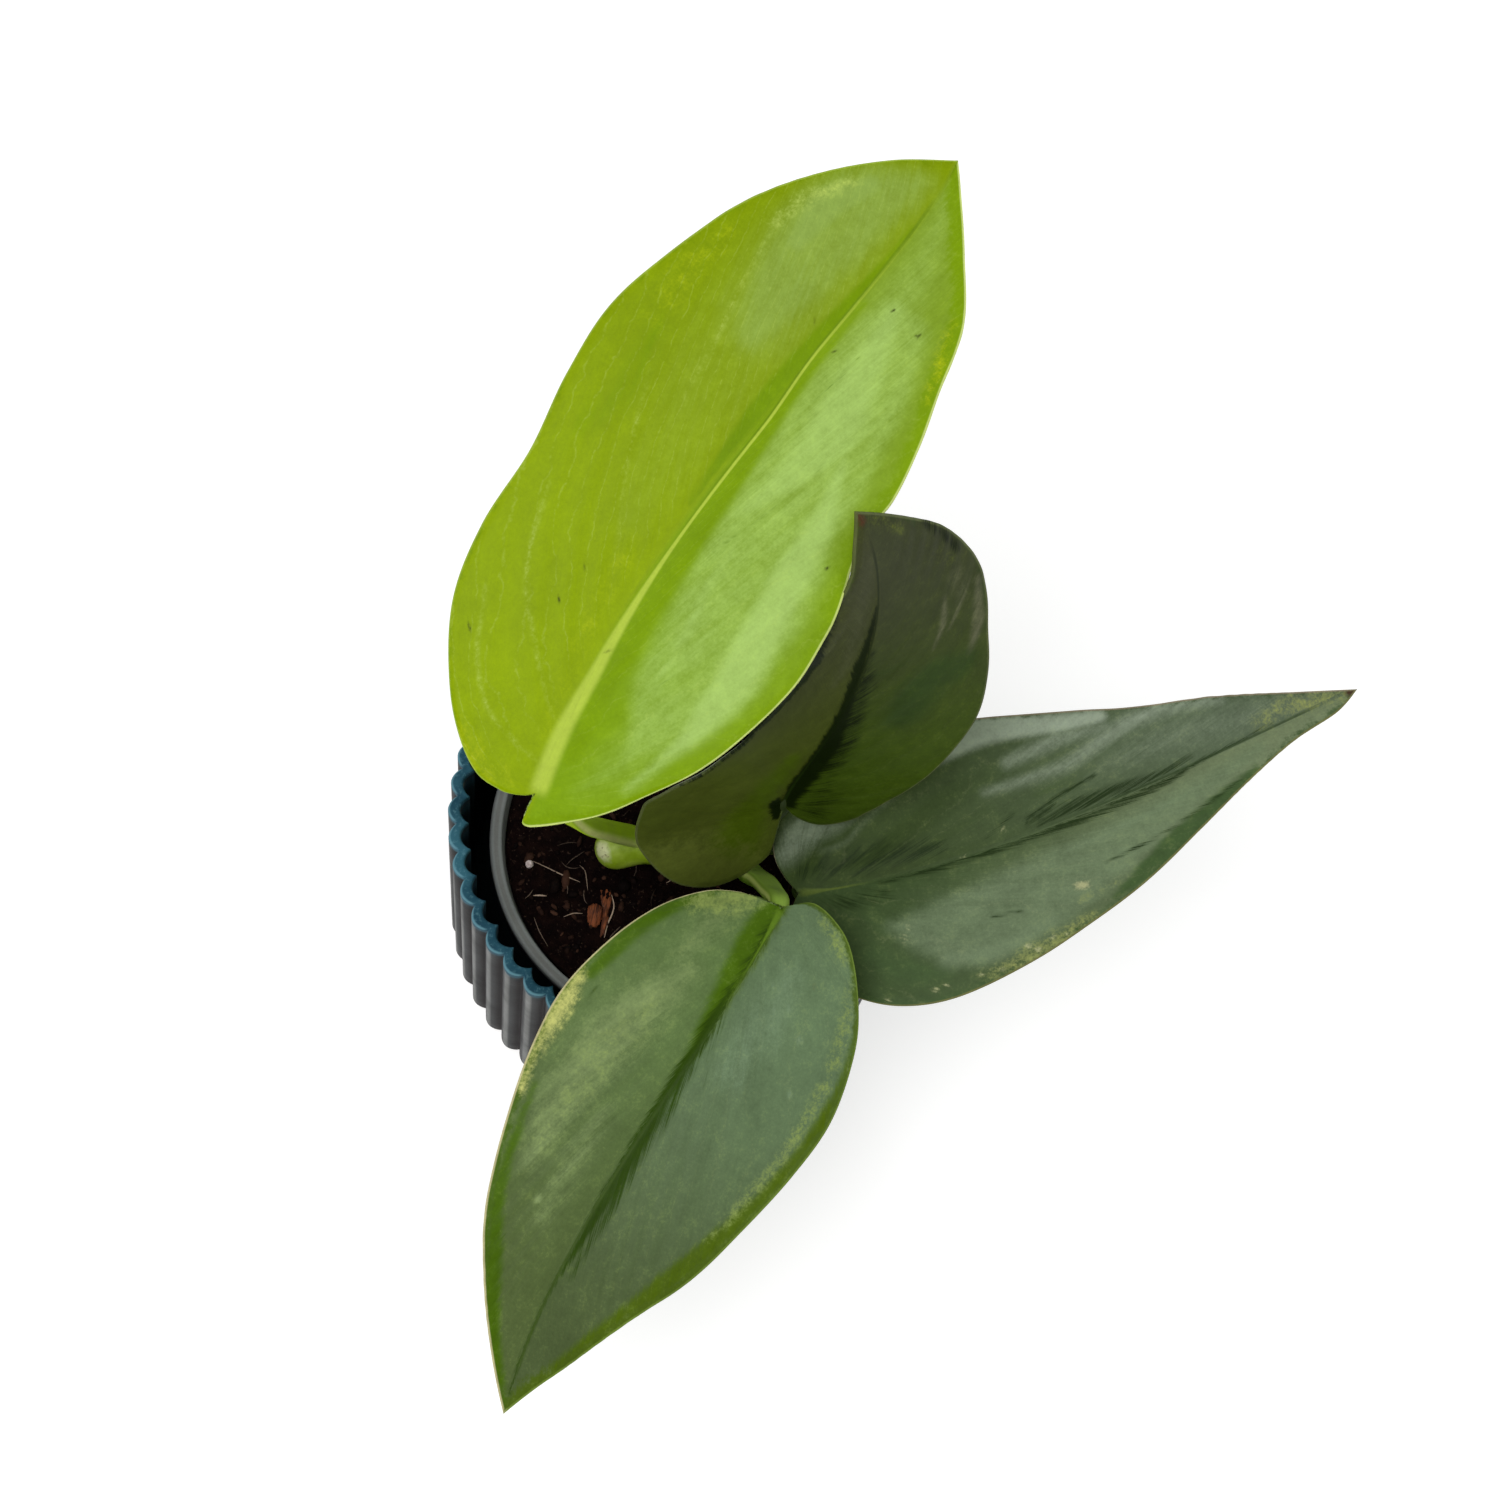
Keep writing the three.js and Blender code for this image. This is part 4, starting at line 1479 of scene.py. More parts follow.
    def _fibres(self) -> None:
        """Lays fine fibres and the few pale ones that stand out."""
        draw = random.Random(self.seed + 1)
        mesh, _, tone_layer = start_mesh("place", "tone")
        for thickness, tone, path in self.strands:
            points = [(x, y, self.surface(x, y) + thickness + 0.35) for x, y in path]
            self._strand(mesh, points, thickness, tone, tone_layer)
        for _ in range(self.fibres):
            x, y = self._spot(draw, 3)
            heading = draw.uniform(0, 2 * math.pi)
            bend = draw.uniform(-0.5, 0.5)
            step = draw.uniform(0.4, 1.3)
            points = []
            for _ in range(4):
                if math.hypot(x - self.centre_x, y) < self.radius - 0.5:
                    points.append((x, y, self.surface(x, y) + draw.uniform(0.0, 0.7)))
                x += step * math.cos(heading)
                y += step * math.sin(heading)
                heading += bend
            if len(points) > 2:
                tone = draw.uniform(0.0, 0.45) + (0.3 if draw.random() < 0.15 else 0.0)
                self._strand(mesh, points, draw.uniform(0.05, 0.12), tone, tone_layer)
        weld(mesh)
        material = self.finish.scrap("soil_fibres", shade(22, 12, 10), shade(180, 156, 138), 0.7)
        add_piece(mesh, "soil_fibres", "soil", material)

    @staticmethod
    def _strand(
        mesh: bmesh.types.BMesh, points: Sequence[Point], thickness: float, tone: float,
        layer: bmesh.types.BMLayerItem,
    ) -> None:
        """Adds one strand, thinner at both ends.

        Args:
            mesh: The mesh that the strand is added to.
            points: The points that it passes.
            thickness: Its half thickness in the middle.
            tone: Its shade, from 0 for dark to 1 for pale.
            layer: The vertex layer that holds the shade.
        """
        known = set(mesh.verts)
        places = curve_through(points, 3 * (len(points) - 1))
        last = len(places) - 1
        rings = []
        for index, place in enumerate(places):
            half = thickness * mix(0.35, 1.0, math.sin(math.pi * index / last))
            rings.append(round_ring(place, half))
        sweep(mesh, rings, 5)
        for vertex in mesh.verts:
            if vertex not in known:
                vertex[layer] = (tone, 0.0, 0.0)

    def _bead(self) -> None:
        """Sets the white bead on the soil."""
        x, y, radius = self.bead
        mesh = bmesh.new()
        verts = bmesh.ops.create_icosphere(mesh, subdivisions=4, radius=radius * MM)["verts"]
        for vertex in verts:
            bumps = noise.noise(vertex.co * 1400) * 0.12 + noise.noise(vertex.co * 3600) * 0.06
            vertex.co *= 1 + bumps
        bmesh.ops.translate(mesh, verts=verts, vec=Vector((x, y, self.surface(x, y) + 0.5)) * MM)
        add_piece(mesh, "perlite_bead", "soil", self.finish.perlite())

    def _chips(self) -> None:
        """Lays the bark chip, two thin warped flakes with ragged edges."""
        mesh, layer = start_mesh("tone")
        rings = 12
        for chip in self.chips:
            outline = curve_through([*chip, chip[0]], 60)[:-1]
            middle = sum(outline, Vector((0.0, 0.0))) / len(outline)
            ragged = []
            for index, point in enumerate(outline):
                out = 1 + 0.16 * noise.noise(Vector((index * 0.7, 2.0, 0.0)))
                ragged.append(middle + (point - middle) * out)

            def put(vertex: bmesh.types.BMVert, column: int, row: int) -> None:
                """Places a vertex of the flake's top."""
                share = row / rings
                x, y = middle.lerp(ragged[column % len(ragged)], share)
                furrow = noise.noise(Vector((x * 2.2, y * 0.5, 3.0))) * 0.35
                height = self.surface(*middle) + 0.9 + furrow - 0.6 * share**3
                vertex.co = Vector((x, y, height)) * MM
                vertex[layer] = (y, x, 0.0)

            lay_grid(mesh, len(ragged), rings, put)
        weld(mesh, outward=True)
        piece = add_piece(mesh, "bark_chip", "soil", self.finish.bark())
        solidify = piece.modifiers.new("thickness", "SOLIDIFY")
        solidify.thickness = 0.5 * MM
        solidify.offset = -1.0


@dataclass(frozen=True)
class VineFinish:
    """The vine piece: lime green, with a whitish scar over its cut end that is partly a painted highlight.
    """

    body: Colour = shade(140, 168, 26)
    pale: Colour = shade(164, 188, 66)
    scar: Colour = shade(224, 226, 178)
    crack: Colour = shade(116, 104, 66)
    scar_place: Point = (-11.6, -6.2, 43.4)

    def material(self) -> bpy.types.Material:
        """Returns the material."""
        paint = Paint("vine_tissue", Specular_IOR_Level=0.3)
        place = paint.place()
        centre = tuple(part * MM for part in self.scar_place)
        gap = paint.add(
            "ShaderNodeVectorMath", {"operation": "DISTANCE"}, {0: place, 1: centre}, "Value"
        )
        cloud = paint.noise(place, 300.0, 4.0, 0.6)
        grain = paint.noise(place, 1600.0, 3.0, 0.65)
        colour = paint.blend(paint.rise(cloud, 0.35, 0.7), self.body, self.pale)
        # The whitish scar, partly the cut's own colour and partly a painted highlight on the rounded end
        on_scar = 1 - paint.rise(gap * 1000.0 + (cloud - 0.5) * 3.0, 0.9, 2.2)
        colour = paint.blend(on_scar * 0.85, colour, self.scar)
        colour = paint.blend(on_scar * paint.rise(grain, 0.56, 0.66) * 0.8, colour, self.crack)
        colour = paint.toned(colour, (grain - 0.5) * 0.3)
        paint.bump(cloud * 0.5 + grain * 0.3 + on_scar * grain * 0.6, 0.4 * MM, 0.6)
        return paint.finish(colour, 0.42 + (grain - 0.5) * 0.2)


@dataclass
class Vine:
    """The piece of vine that all four leaves grow from."""

    path: tuple[Point, ...] = (
        (-9.5, -4.3, 41.3), (-5.0, -3.2, 41.8), (2.0, -2.0, 42.0), (6.0, -1.4, 42.2), (8.5, -1.2, 42.3),
    )
    radius: float = 2.7
    node_radius: float = 3.3
    tip_radius: float = 2.9
    foot: Flat = (2.0, -2.0)
    foot_radius: float = 2.0
    foot_bottom: float = 30.0
    sides: int = 48
    foot_sides: int = 32
    steps: int = 60
    cap_steps: int = 8
    foot_steps: int = 13
    node_span: float = 0.14
    tip_span: float = 0.1
    scar_ring: Point = (0.3, 0.02, 0.12)
    finish: VineFinish = VineFinish()

    def _radius(self, share: float) -> float:
        """Returns the half thickness at a share of the path, swollen at the nodes."""
        swollen = self.radius
        swollen += (self.node_radius - self.radius) * math.exp(-((share / self.node_span) ** 2))
        swollen += (self.tip_radius - self.radius) * math.exp(-(((1 - share) / self.tip_span) ** 2))
        place, span, height = self.scar_ring
        return swollen + height * math.exp(-(((share - place) / span) ** 2))

    def _rings(self) -> list[Ring]:
        """Returns the rings of the vine with both ends rounded."""
        places = curve_through(self.path, self.steps)
        runs = tangents(places)
        caps = {}
        for end, outwards in ((0, -1), (self.steps, 1)):
            radius = self._radius(end / self.steps)
            caps[end] = []
            for step in range(1, self.cap_steps + 1):
                turn = math.pi / 2 * step / (self.cap_steps + 0.5)
                place = places[end] + runs[end] * (outwards * radius * math.sin(turn))
                caps[end].append(round_ring(place, radius * math.cos(turn), along=float(end)))
        body = [
            round_ring(place, self._radius(index / self.steps), along=float(index))
            for index, place in enumerate(places)
        ]
        return caps[0][::-1] + body + caps[self.steps]

    def build(self) -> None:
        """Builds the vine and its foot."""
        mesh = start_mesh("place")[0]
        sweep(mesh, self._rings(), self.sides)
        foot = []
        for step in range(self.foot_steps + 1):
            share = step / self.foot_steps
            half = self.foot_radius * (1 + 0.25 * share**3)
            place = Vector((*self.foot, mix(self.foot_bottom, self.path[2][2], share)))
            foot.append(round_ring(place, half, up=(0, 1, 0)))
        sweep(mesh, foot, self.foot_sides)
        weld(mesh)
        for vertex in mesh.verts:
            point = vertex.co / MM
            rough = noise.noise(point * 0.5) * 0.12 + noise.noise(point * 1.9) * 0.05
            vertex.co += vertex.normal * rough * MM
        add_piece(mesh, "vine_piece", "vine", self.finish.material())


# The lime petiole's colours are lighter than its own green: painted light against the new leaf's shade
LIME_STALK = StalkFinish("lime_petiole", shade(160, 194, 34), shade(176, 208, 16), shade(220, 230, 136))
FRONT_STALK = StalkFinish("front_petiole", shade(112, 146, 40), shade(140, 172, 70), shade(186, 202, 110))
# Partly the older petioles' dark green, partly painted shade where it shows through the sinus
DARK_STALK = StalkFinish("dark_petiole", shade(58, 76, 24), shade(48, 62, 24), shade(96, 112, 52))


# The marks of each leaf, where a stroke gives its softness, its strength and its path
NEW_MARKS = (
    # On the right half these strokes are the silver veil with painted sheen and a painted highlight low
    # down
    *brushed(
        Tone.LIGHT,
        (4, 0.2, (36, 6, 3), (50, 7, 6), (60, 8, 8)),
        (4, 0.34, (66, 8, 7), (80, 8, 8), (92, 4, 4)),
        (3, 0.6, (64, 8, 3), (76, 9, 6), (86, 8, 6), (94, 3, 2)),
        (2, 0.85, (77, 11, 2), (84, 11, 3), (90, 8, 2)),
        (3, 0.28, (2, -5, 0.6), (8, -9, 3), (14, -12, 4)),
        (1.8, 0.45, (8, -9, 0.8), (14, -11, 3.6), (20, -12, 6.6), (30, -12.6, 8), (38, -12.2, 8.4),
         (47, -10.6, 7.6), (56, -9.4, 7.4), (66, -7.8, 6.6), (74, -6.4, 5)),
        (3, 0.34, (70, -6, 4), (82, -4, 3), (94, -1.4, 1)),
        (2, 0.78, (5, -11, 0.2), (11, -13.8, 0.8), (17, -15.8, 2.2), (25, -17, 3.2), (33, -16.6, 3.2),
         (41, -15.8, 3), (50, -14.6, 2.2), (58, -12, 1)),
        (3, 0.72, (44, -5.4, 1), (52, -7.6, 3), (59, -8.4, 4.4), (67, -7, 4), (77, -4.6, 2)),
        (2.4, 0.62, (18, -8, 1), (26, -8.6, 1.6), (36, -7.4, 1.6), (44, -7.6, 1)),
    ),
    *brushed(
        Tone.GREEN,
        (0.7, 1, (42, 0.9, 0.2), (52, 1.1, 1), (60, 1.2, 1.3), (70, 1, 1.1), (80, 0.7, 0.5),
         (88, 0.5, 0.1)),
        (1, 1, (6, -2.6, 1.2), (14, -2.6, 1.5), (24, -2.5, 1.7), (36, -2.4, 1.6), (50, -1.9, 1.3),
         (62, -1, 0.7), (76, -0.6, 0.2)),
        (2, 0.4, (42, 17.5, 1.4), (48, 16.4, 2.2), (57, 18, 1.6)),
        (1.2, 0.5, (10, -15.4, 1), (14, -17.6, 1.2), (20, -20, 1)),
    ),
    *brushed(
        Tone.YELLOW,
        (3, 0.3, (58, 18.6, 0.8), (65, 19.8, 1.8), (72, 18.8, 0.9)),
        (2, 0.45, (0.5, 4.5, 1), (0.5, 8, 1.6), (4, 12.5, 1)),
        (2.2, 0.25, (8, 2, 0.8), (20, 3, 1.2), (34, 4, 1)),
        (1, 0.4, (70, -15.4, 0.5), (76, -13.2, 0.9), (80, -11.6, 0.5)),
    ),
    *brushed(
        Tone.DEEP,
        (0.3, 0.45, (16, -7, 0.05), (22, -10.4, 0.1), (28, -13.4, 0.05)),
        (0.3, 0.5, (40, -6, 0.05), (46, -8.2, 0.1), (52, -9.8, 0.1), (57, -10.2, 0.05)),
        (0.3, 0.5, (57, -3.4, 0.05), (63, -4.2, 0.12), (70, -4.9, 0.05)),
    ),
    *brushed(
        Tone.FINE,
        (1.4, 0.4, (77, 15, 0.6), (83, 13.6, 1.1), (89, 10.4, 0.7)),
        (0.6, 0.36, (3.8, 1.6, 0.15), (5, 5, 0.2), (7, 9.4, 0.2), (12, 13.6, 0.2), (20, 17, 0.2)),
        (0.6, 0.36, (9.5, 1.6, 0.1), (12.5, 4.4, 0.2), (18, 9, 0.2), (24, 13.6, 0.2), (34, 17, 0.2)),
        (0.6, 0.28, (32, 5, 0.1), (37, 8, 0.2), (42, 10.6, 0.2), (52, 15, 0.2)),
        (0.8, 0.3, (52, 9.4, 0.1), (60, 11, 0.2), (70, 13.4, 0.2), (80, 15, 0.1)),
    ),
    *dotted(
        Tone.DRY, 0.22, 0.85,
        (15, 16.4, 0.3), (20.2, -0.6, 0.18), (23, 8, 0.22), (28, 7.6, 0.22), (29.3, -8.7, 0.2),
        (36.5, -8.5, 0.15), (45, -18.8, 0.28), (61, -1.8, 0.15), (68.5, -1.9, 0.25),
        (70.2, 3, 0.15), (76.3, -9.1, 0.32), (77.2, -4.4, 0.2), (65, 9.6, 0.14),
    ),
)


def new_leaf() -> Leaf:
    """Returns the lime green leaf on the long petiole."""
    blade = Blade(
        rib=((-19.5, -21.5, 114), (-14, 17.5, 127), (11, 47, 137), (15, 68.5, 136)),
        facing=((-105, 66), (-110, 80)),
        half_width=24,
        fold=halves((8, 6), (12, 10)),
        curl=halves(-8, -6),
        outline=halves(
            ((0, 0), (-0.75, 1.2), (-1.3, 3.2), (-1.3, 4.8), (-0.5, 8), (2.5, 11.5), (8, 15.5), (17, 20),
             (26, 21.5), (36, 21.5), (46, 23.5), (56, 24.5), (67.5, 22.5), (78, 19.5), (88, 14),
             (95, 7.5), (99.7, 0)),
            ((0, 0), (-2, -0.2), (-3.9, -0.45), (-4.4, 0.1), (-4.1, 1.3), (-2.6, 4.2), (0.5, 9),
             (4.5, 13), (11.5, 18.5), (20, 22), (29, 24), (37, 23.8), (41, 23.2), (45, 22), (47, 21.3),
             (52, 20), (57.5, 20.2), (65, 18.5), (72, 16), (80.5, 13), (88, 7.5), (94.5, 3), (99.7, 0)),
        ),
        least_away=-0.5,
    )
    stalk = Stalk(
        path=(
            (-7.7, -2.6, 42.5), (-12.1, -6.4, 55), (-15.1, -10.1, 68), (-17.4, -14.4, 88),
            (-18.9, -18, 106),
        ),
        width=(2.3, 1.5), depth=(1.9, 1.2), wing=0.5, bend_at=3.4, rib_start=5.0,
    )
    finish = LeafFinish(
        name="lime_leaf", length=100,
        ground=halves(
            (shade(136, 161, 2), shade(126, 150, 6)),
            (shade(122, 156, 12), shade(126, 155, 40)),
        ),
        # The right half's light colour is its silver veil with a painted sheen
        light=halves(shade(140, 167, 76), shade(165, 197, 104)),
        green=halves(shade(112, 144, 3), shade(118, 151, 2)),
        deep=shade(92, 122, 20), yellow=shade(156, 172, 16), fine=shade(176, 196, 92),
        dry=shade(52, 60, 14),
        margin=halves((0.0, 0.0), (1.6, 1.8)),
        rib=shade(172, 194, 66), crease_shade=shade(100, 130, 20), rib_half=(1.4, 0.2), rib_reach=(58, 92),
        edge=halves(shade(160, 184, 70), shade(206, 220, 130)), edge_width=0.32,
        under=shade(140, 168, 70), streak=0.14, mottled=0.06, ragged=0.35,
    )
    veins = halves(Veins(0.0, 2.4, 22, 0.068), Veins(0.6, 4.6, 16, 0.05))
    rib_line = ((0, -0.2), (8, -0.1), (18, -0.6), (55, -0.9), (68, 0))
    return Leaf(
        "leaf_new", blade, stalk, finish, LIME_STALK, veins, NEW_MARKS, rib_line,
        Relief(rib_depth=-0.18, rib_width=0.9),
    )


MIDDLE_MARKS = (
    *brushed(
        Tone.LIGHT,
        (2.2, 0.5, (46, 6, 1.5), (54, 5, 2.4), (62, 4, 2), (70, 2, 1)),
        (0.6, 0.6, (42, -10.4, 0.2), (47, -11.2, 0.5), (52, -11, 0.3)),
        (0.8, 0.6, (39, -16.4, 0.4), (45, -17, 1), (52, -16.4, 0.6)),
        (0.5, 0.55, (45, -12.4, 0.2), (49, -13.8, 0.4), (53, -15.4, 0.2)),
        (1.8, 0.35, (50, -14, 1), (55, -13, 1.4)),
    ),
    *brushed(
        Tone.GREEN,
        (3, 0.9, (-11, 8, 2.5), (-6, 8, 4), (1, 6, 3.5), (9, 5, 3), (19, 5, 1.5)),
        (2.5, 0.8, (28, -9, 3), (35, -11, 4), (37, -15, 3)),
        (1.2, 0.4, (40, -2, 0.6), (41, -6, 0.8)),
    ),
    *brushed(
        Tone.YELLOW,
        (1.2, 0.35, (70, -5, 0.6), (74, -3, 0.8), (77, -1, 0.4)),
        (1.6, 0.3, (58, -12, 0.8), (63, -9, 0.8)),
        (2.5, 0.3, (10, 20, 1), (20, 18, 1.5), (30, 16, 1.2)),
        # The last stroke is painted light, lifting the shade of the lower lobe
        (5, 1, (-11, 8, 4), (-9, 14, 6), (-4, 20, 4)),
    ),
    *brushed(
        Tone.DEEP,
        # A near black spot painted at the sinus as the shade of the dark hole there
        (0.3, 1, (2.1, 1.8, 0.8), (0, 1.4, 1.1), (-2.6, 1.5, 0.6)),
        (1.5, 0.62, (12, -3, 1.4), (24, -2.4, 1.6), (34, -1, 1.6), (46, 0.4, 1.2)),
        (0.9, 1, (0, -1, 1), (5, -0.6, 1.7), (11, -0.7, 1.9), (20, -0.7, 1.9), (30, 0.2, 1.6),
         (40, 1.3, 1.5), (48, 1.9, 1.5), (54, 1.4, 1), (59, 0.6, 0.3)),
        (2.5, 0.42, (-2, -4.5, 2), (4, -5, 2.6), (9, -4, 1)),
        # Partly painted shadow of the new leaf along its margin, partly dark variegation
        (1.1, 0.95, (30, 26.6, 0.4), (42, 25, 0.6), (52, 22.3, 0.9), (57, 18.4, 1.8), (60, 15, 2.4),
         (63, 12.2, 2.2), (66, 9.4, 1.2), (68.5, 7, 0.4)),
        (0.8, 0.65, (59, -13.6, 0.6), (64, -11, 0.6), (68, -8.6, 0.4)),
        (0.8, 0.35, (32, -2, 0.5), (36, -3, 0.6), (39, -2, 0.3)),
    ),
    *brushed(Tone.DRY, (0.8, 0.8, (77.2, 0, 0.6), (79, 0, 0.5))),
    *brushed(Tone.RISE, (2.5, -1.0, (64, 12, 2), (67, 8.5, 2))),
)


def middle_leaf() -> Leaf:
    """Returns the dark leaf that stands almost upright."""
    blade = Blade(
        rib=((13, 2, 61.5), (12.3, 3.1, 65.2), (27, 10.5, 114.5), (11.7, 16.2, 137.7)),
        facing=((-55, 40), (-6, 36)),
        half_width=22,
        fold=halves((4, -13), (25, 12)),
        curl=halves(0, 0),
        outline=halves(
            ((0, 0), (-4, 1.5), (-8, 2), (-11.5, 3), (-13.5, 7), (-13.5, 11.5), (-11, 16), (-7, 19.5),
             (-1, 22.5), (8, 25.5), (20, 27), (33, 26.5), (45, 24.5), (55, 21), (61, 16), (64.4, 12.2),
             (66.5, 9.3), (67.3, 7.9), (67.8, 7.4), (68.9, 6.7), (69.6, 6.2), (70.3, 5.6), (71, 4.9),
             (72.2, 4.1), (75, 2.7), (79.1, 0)),
            ((0, 0), (-3, 1.5), (-4.7, 5), (-3, 9), (0.6, 12.2), (7, 14.7), (14, 17), (20.5, 19),
             (27, 20.5), (34, 20.3), (42, 19), (50, 18), (56, 16.3), (63.5, 12.3), (70, 7.2), (79.1, 0)),
        ),
    )
    stalk = Stalk(
        path=((8.8, -0.9, 42.5), (10.4, 0.4, 48.5), (11.8, 1.4, 54.5), (12.8, 1.9, 59.5)),
        width=(1.9, 1.3), depth=(1.6, 1.1), wing=0.3,
    )
    finish = LeafFinish(
        name="dark_leaf", length=79,
        ground=halves(
            (shade(78, 89, 29), shade(60, 65, 33)),
            (shade(61, 81, 14), shade(58, 64, 36)),
        ),
        light=halves(shade(72, 76, 50), shade(100, 102, 76)),
        green=halves(shade(76, 96, 12), shade(50, 70, 26)),
        deep=shade(15, 26, 1), yellow=shade(88, 98, 36), fine=shade(112, 116, 84), dry=shade(84, 54, 34),
        margin=halves((0.0, 0.0), (0.0, 0.0)),
        # The dark rib and crease colours are painted shade in the valley along the rib
        rib=shade(30, 46, 8), crease_shade=shade(24, 36, 6), rib_half=(0.4, 0.1), rib_reach=(10, 30),
        edge=halves(shade(92, 100, 56), shade(96, 104, 66)), edge_width=0.4,
        under=shade(88, 104, 58), streak=0.26,
        vein_share=halves(0.04, 0.06),
    )
    veins = halves(Veins(0.6, 2.4, 18, 0.03), Veins(0.4, 1.8, 18, 0.03))
    return Leaf(
        "leaf_middle", blade, stalk, finish, DARK_STALK, veins, MIDDLE_MARKS,
        relief=Relief(rib_depth=0.4, rib_width=1.8),
    )


RIGHT_MARKS = (
    *brushed(
        Tone.LIGHT,
        # Painted reflection of the sky on the curled-up lobe, over its silver
        (2.2, 0.5, (-1.5, 6, 2), (2, 9, 3), (8, 10.6, 2.4), (14, 12.6, 1)),
        (1, 0.3, (4, 5.6, 0.5), (8, 6.4, 0.6), (12, 9, 0.6), (18, 11.8, 0.5)),
        # Painted highlights along the raised ridges near the upper margin
        (1.2, 1, (13, 14.5, 1.5), (20, 16.4, 2.8), (28, 17.2, 2.8), (36, 16.4, 2), (44, 14.2, 1.4),
         (52, 12.2, 1)),
        (1.8, 0.62, (31, 8, 0.2), (37, 7.6, 0.6), (44, 7.4, 0.8), (50, 8.6, 1), (56, 9.6, 1.2),
         (63, 9, 1), (70, 7, 0.5)),
        (1.8, 0.55, (36, 11, 1), (44, 11.4, 1.2), (52, 10.4, 1)),
        (2.6, 0.25, (46, 4.8, 1), (56, 5.4, 2.6), (65, 4.4, 2.8), (74, 3, 2.4), (83, 1.6, 1.4)),
        (2, 0.72, (13, -7.6, 1), (21, -10, 5), (32, -9.6, 6), (42, -7.6, 4.6), (52, -5.6, 3.2),
         (62, -3.8, 2), (72, -2, 1)),
        (1.8, 0.85, (19, -14, 1.6), (26, -14.6, 2), (34, -13, 1.6)),
        (0.9, 0.95, (36, -4.4, 0.2), (44, -4.5, 0.7), (54, -4, 0.8), (63, -3.2, 0.4)),
    ),
    *brushed(
        Tone.GREEN,
        (0.8, 0.9, (43, -13.4, 0.5), (49, -11.4, 1.4), (55, -9.4, 2), (62, -7, 1.4), (70, -4.8, 0.8)),
        (1.6, 0.5, (9, -11, 1.5), (13, -14.4, 2), (18, -16, 1.4)),
        (1, 0.45, (38, 5, 0.5), (44, 5, 0.7), (48, 5.6, 0.4)),
    ),
    *brushed(
        Tone.YELLOW,
        (1.4, 0.5, (23, -18, 0.5), (28, -17.2, 1.2), (33, -16.2, 1.2), (39, -14.6, 0.6)),
        (1.2, 0.3, (38, -12, 0.5), (44, -11.4, 0.5)),
        (2.4, 0.5, (74, 1.6, 0.8), (80, 2, 1.4), (85, 1, 1.4), (90, 0, 1)),
    ),
    *brushed(
        Tone.DEEP,
        # Painted shade where the blade beside the lobe turns from the light
        (2, 0.6, (1, 3, 1), (8, 3.4, 1.8), (15, 3.6, 2), (22, 2.4, 1)),
        (1.6, 0.5, (3, -2.6, 1), (8, -2.8, 1.4), (13, -2.4, 1)),
        (0.5, 0.75, (12, -0.5, 0.3), (22, -0.6, 0.5), (34, -0.8, 0.5), (46, -0.9, 0.7), (56, -0.7, 0.6),
         (64, 0.2, 0.3), (76, 0.8, 0.1)),
        (0.6, 0.7, (37, 1.2, 0.5), (44, 1.6, 0.9), (50, 1.2, 0.9), (57, 1, 0.5), (62, 1.4, 0.3)),
        (0.35, 0.85, (35.5, 2.2, 0.2), (41, 3.6, 0.25), (47.6, 4.4, 0.3)),
        (0.5, 0.6, (29, 1.6, 0.2), (34, 3.6, 0.3)),
        (0.5, 0.5, (35, 1, 0.3), (40, 2.8, 0.4)),
        (0.4, 0.6, (26.5, -10, 0.25), (30.4, -10.7, 0.1)),
        (0.45, 0.6, (43.6, -8.2, 0.1), (52, -7.6, 0.25), (60, -6.4, 0.3), (68, -4.8, 0.1)),
        (0.4, 0.4, (8, -5, 0.2), (9.4, -7.5, 0.1)),
    ),
    *brushed(
        Tone.FINE,
        (0.5, 0.9, (38.8, -9.9, 0.5), (39.8, -10.1, 0.5)),
        (0.25, 0.8, (13.7, -11, 0.06), (14.2, -9.2, 0.1), (15.4, -7.6, 0.05)),
    ),
    *dotted(
        Tone.FINE, 0.35, 0.8,
        (16.4, -18, 0.3), (18, -17.8, 0.25), (22.6, -17.6, 0.2), (25.4, -17.8, 0.25),
        (29.6, -15.7, 0.3), (30.6, -16.6, 0.35), (33, -15.6, 0.3), (35, -15.9, 0.2),
        (24.8, 0.1, 0.2), (31.9, 1.9, 0.2), (10.4, -18, 0.2),
    ),
    *brushed(Tone.DRY, (0.6, 0.85, (89.6, 0, 0.6), (91.2, 0, 0.5))),
    *brushed(
        Tone.RISE,
        (2.6, 0.7, (4, 5, 1), (10, 7.6, 1.2), (17, 11.4, 1.4), (26, 14, 1.4), (36, 15, 1)),
        (2.4, 0.5, (33, 7.6, 0.5), (44, 7.4, 1), (56, 9, 1), (68, 7.4, 0.5)),
        (3, 0.35, (24, -12, 1), (36, -9, 1.5), (50, -6, 1)),
    ),
)


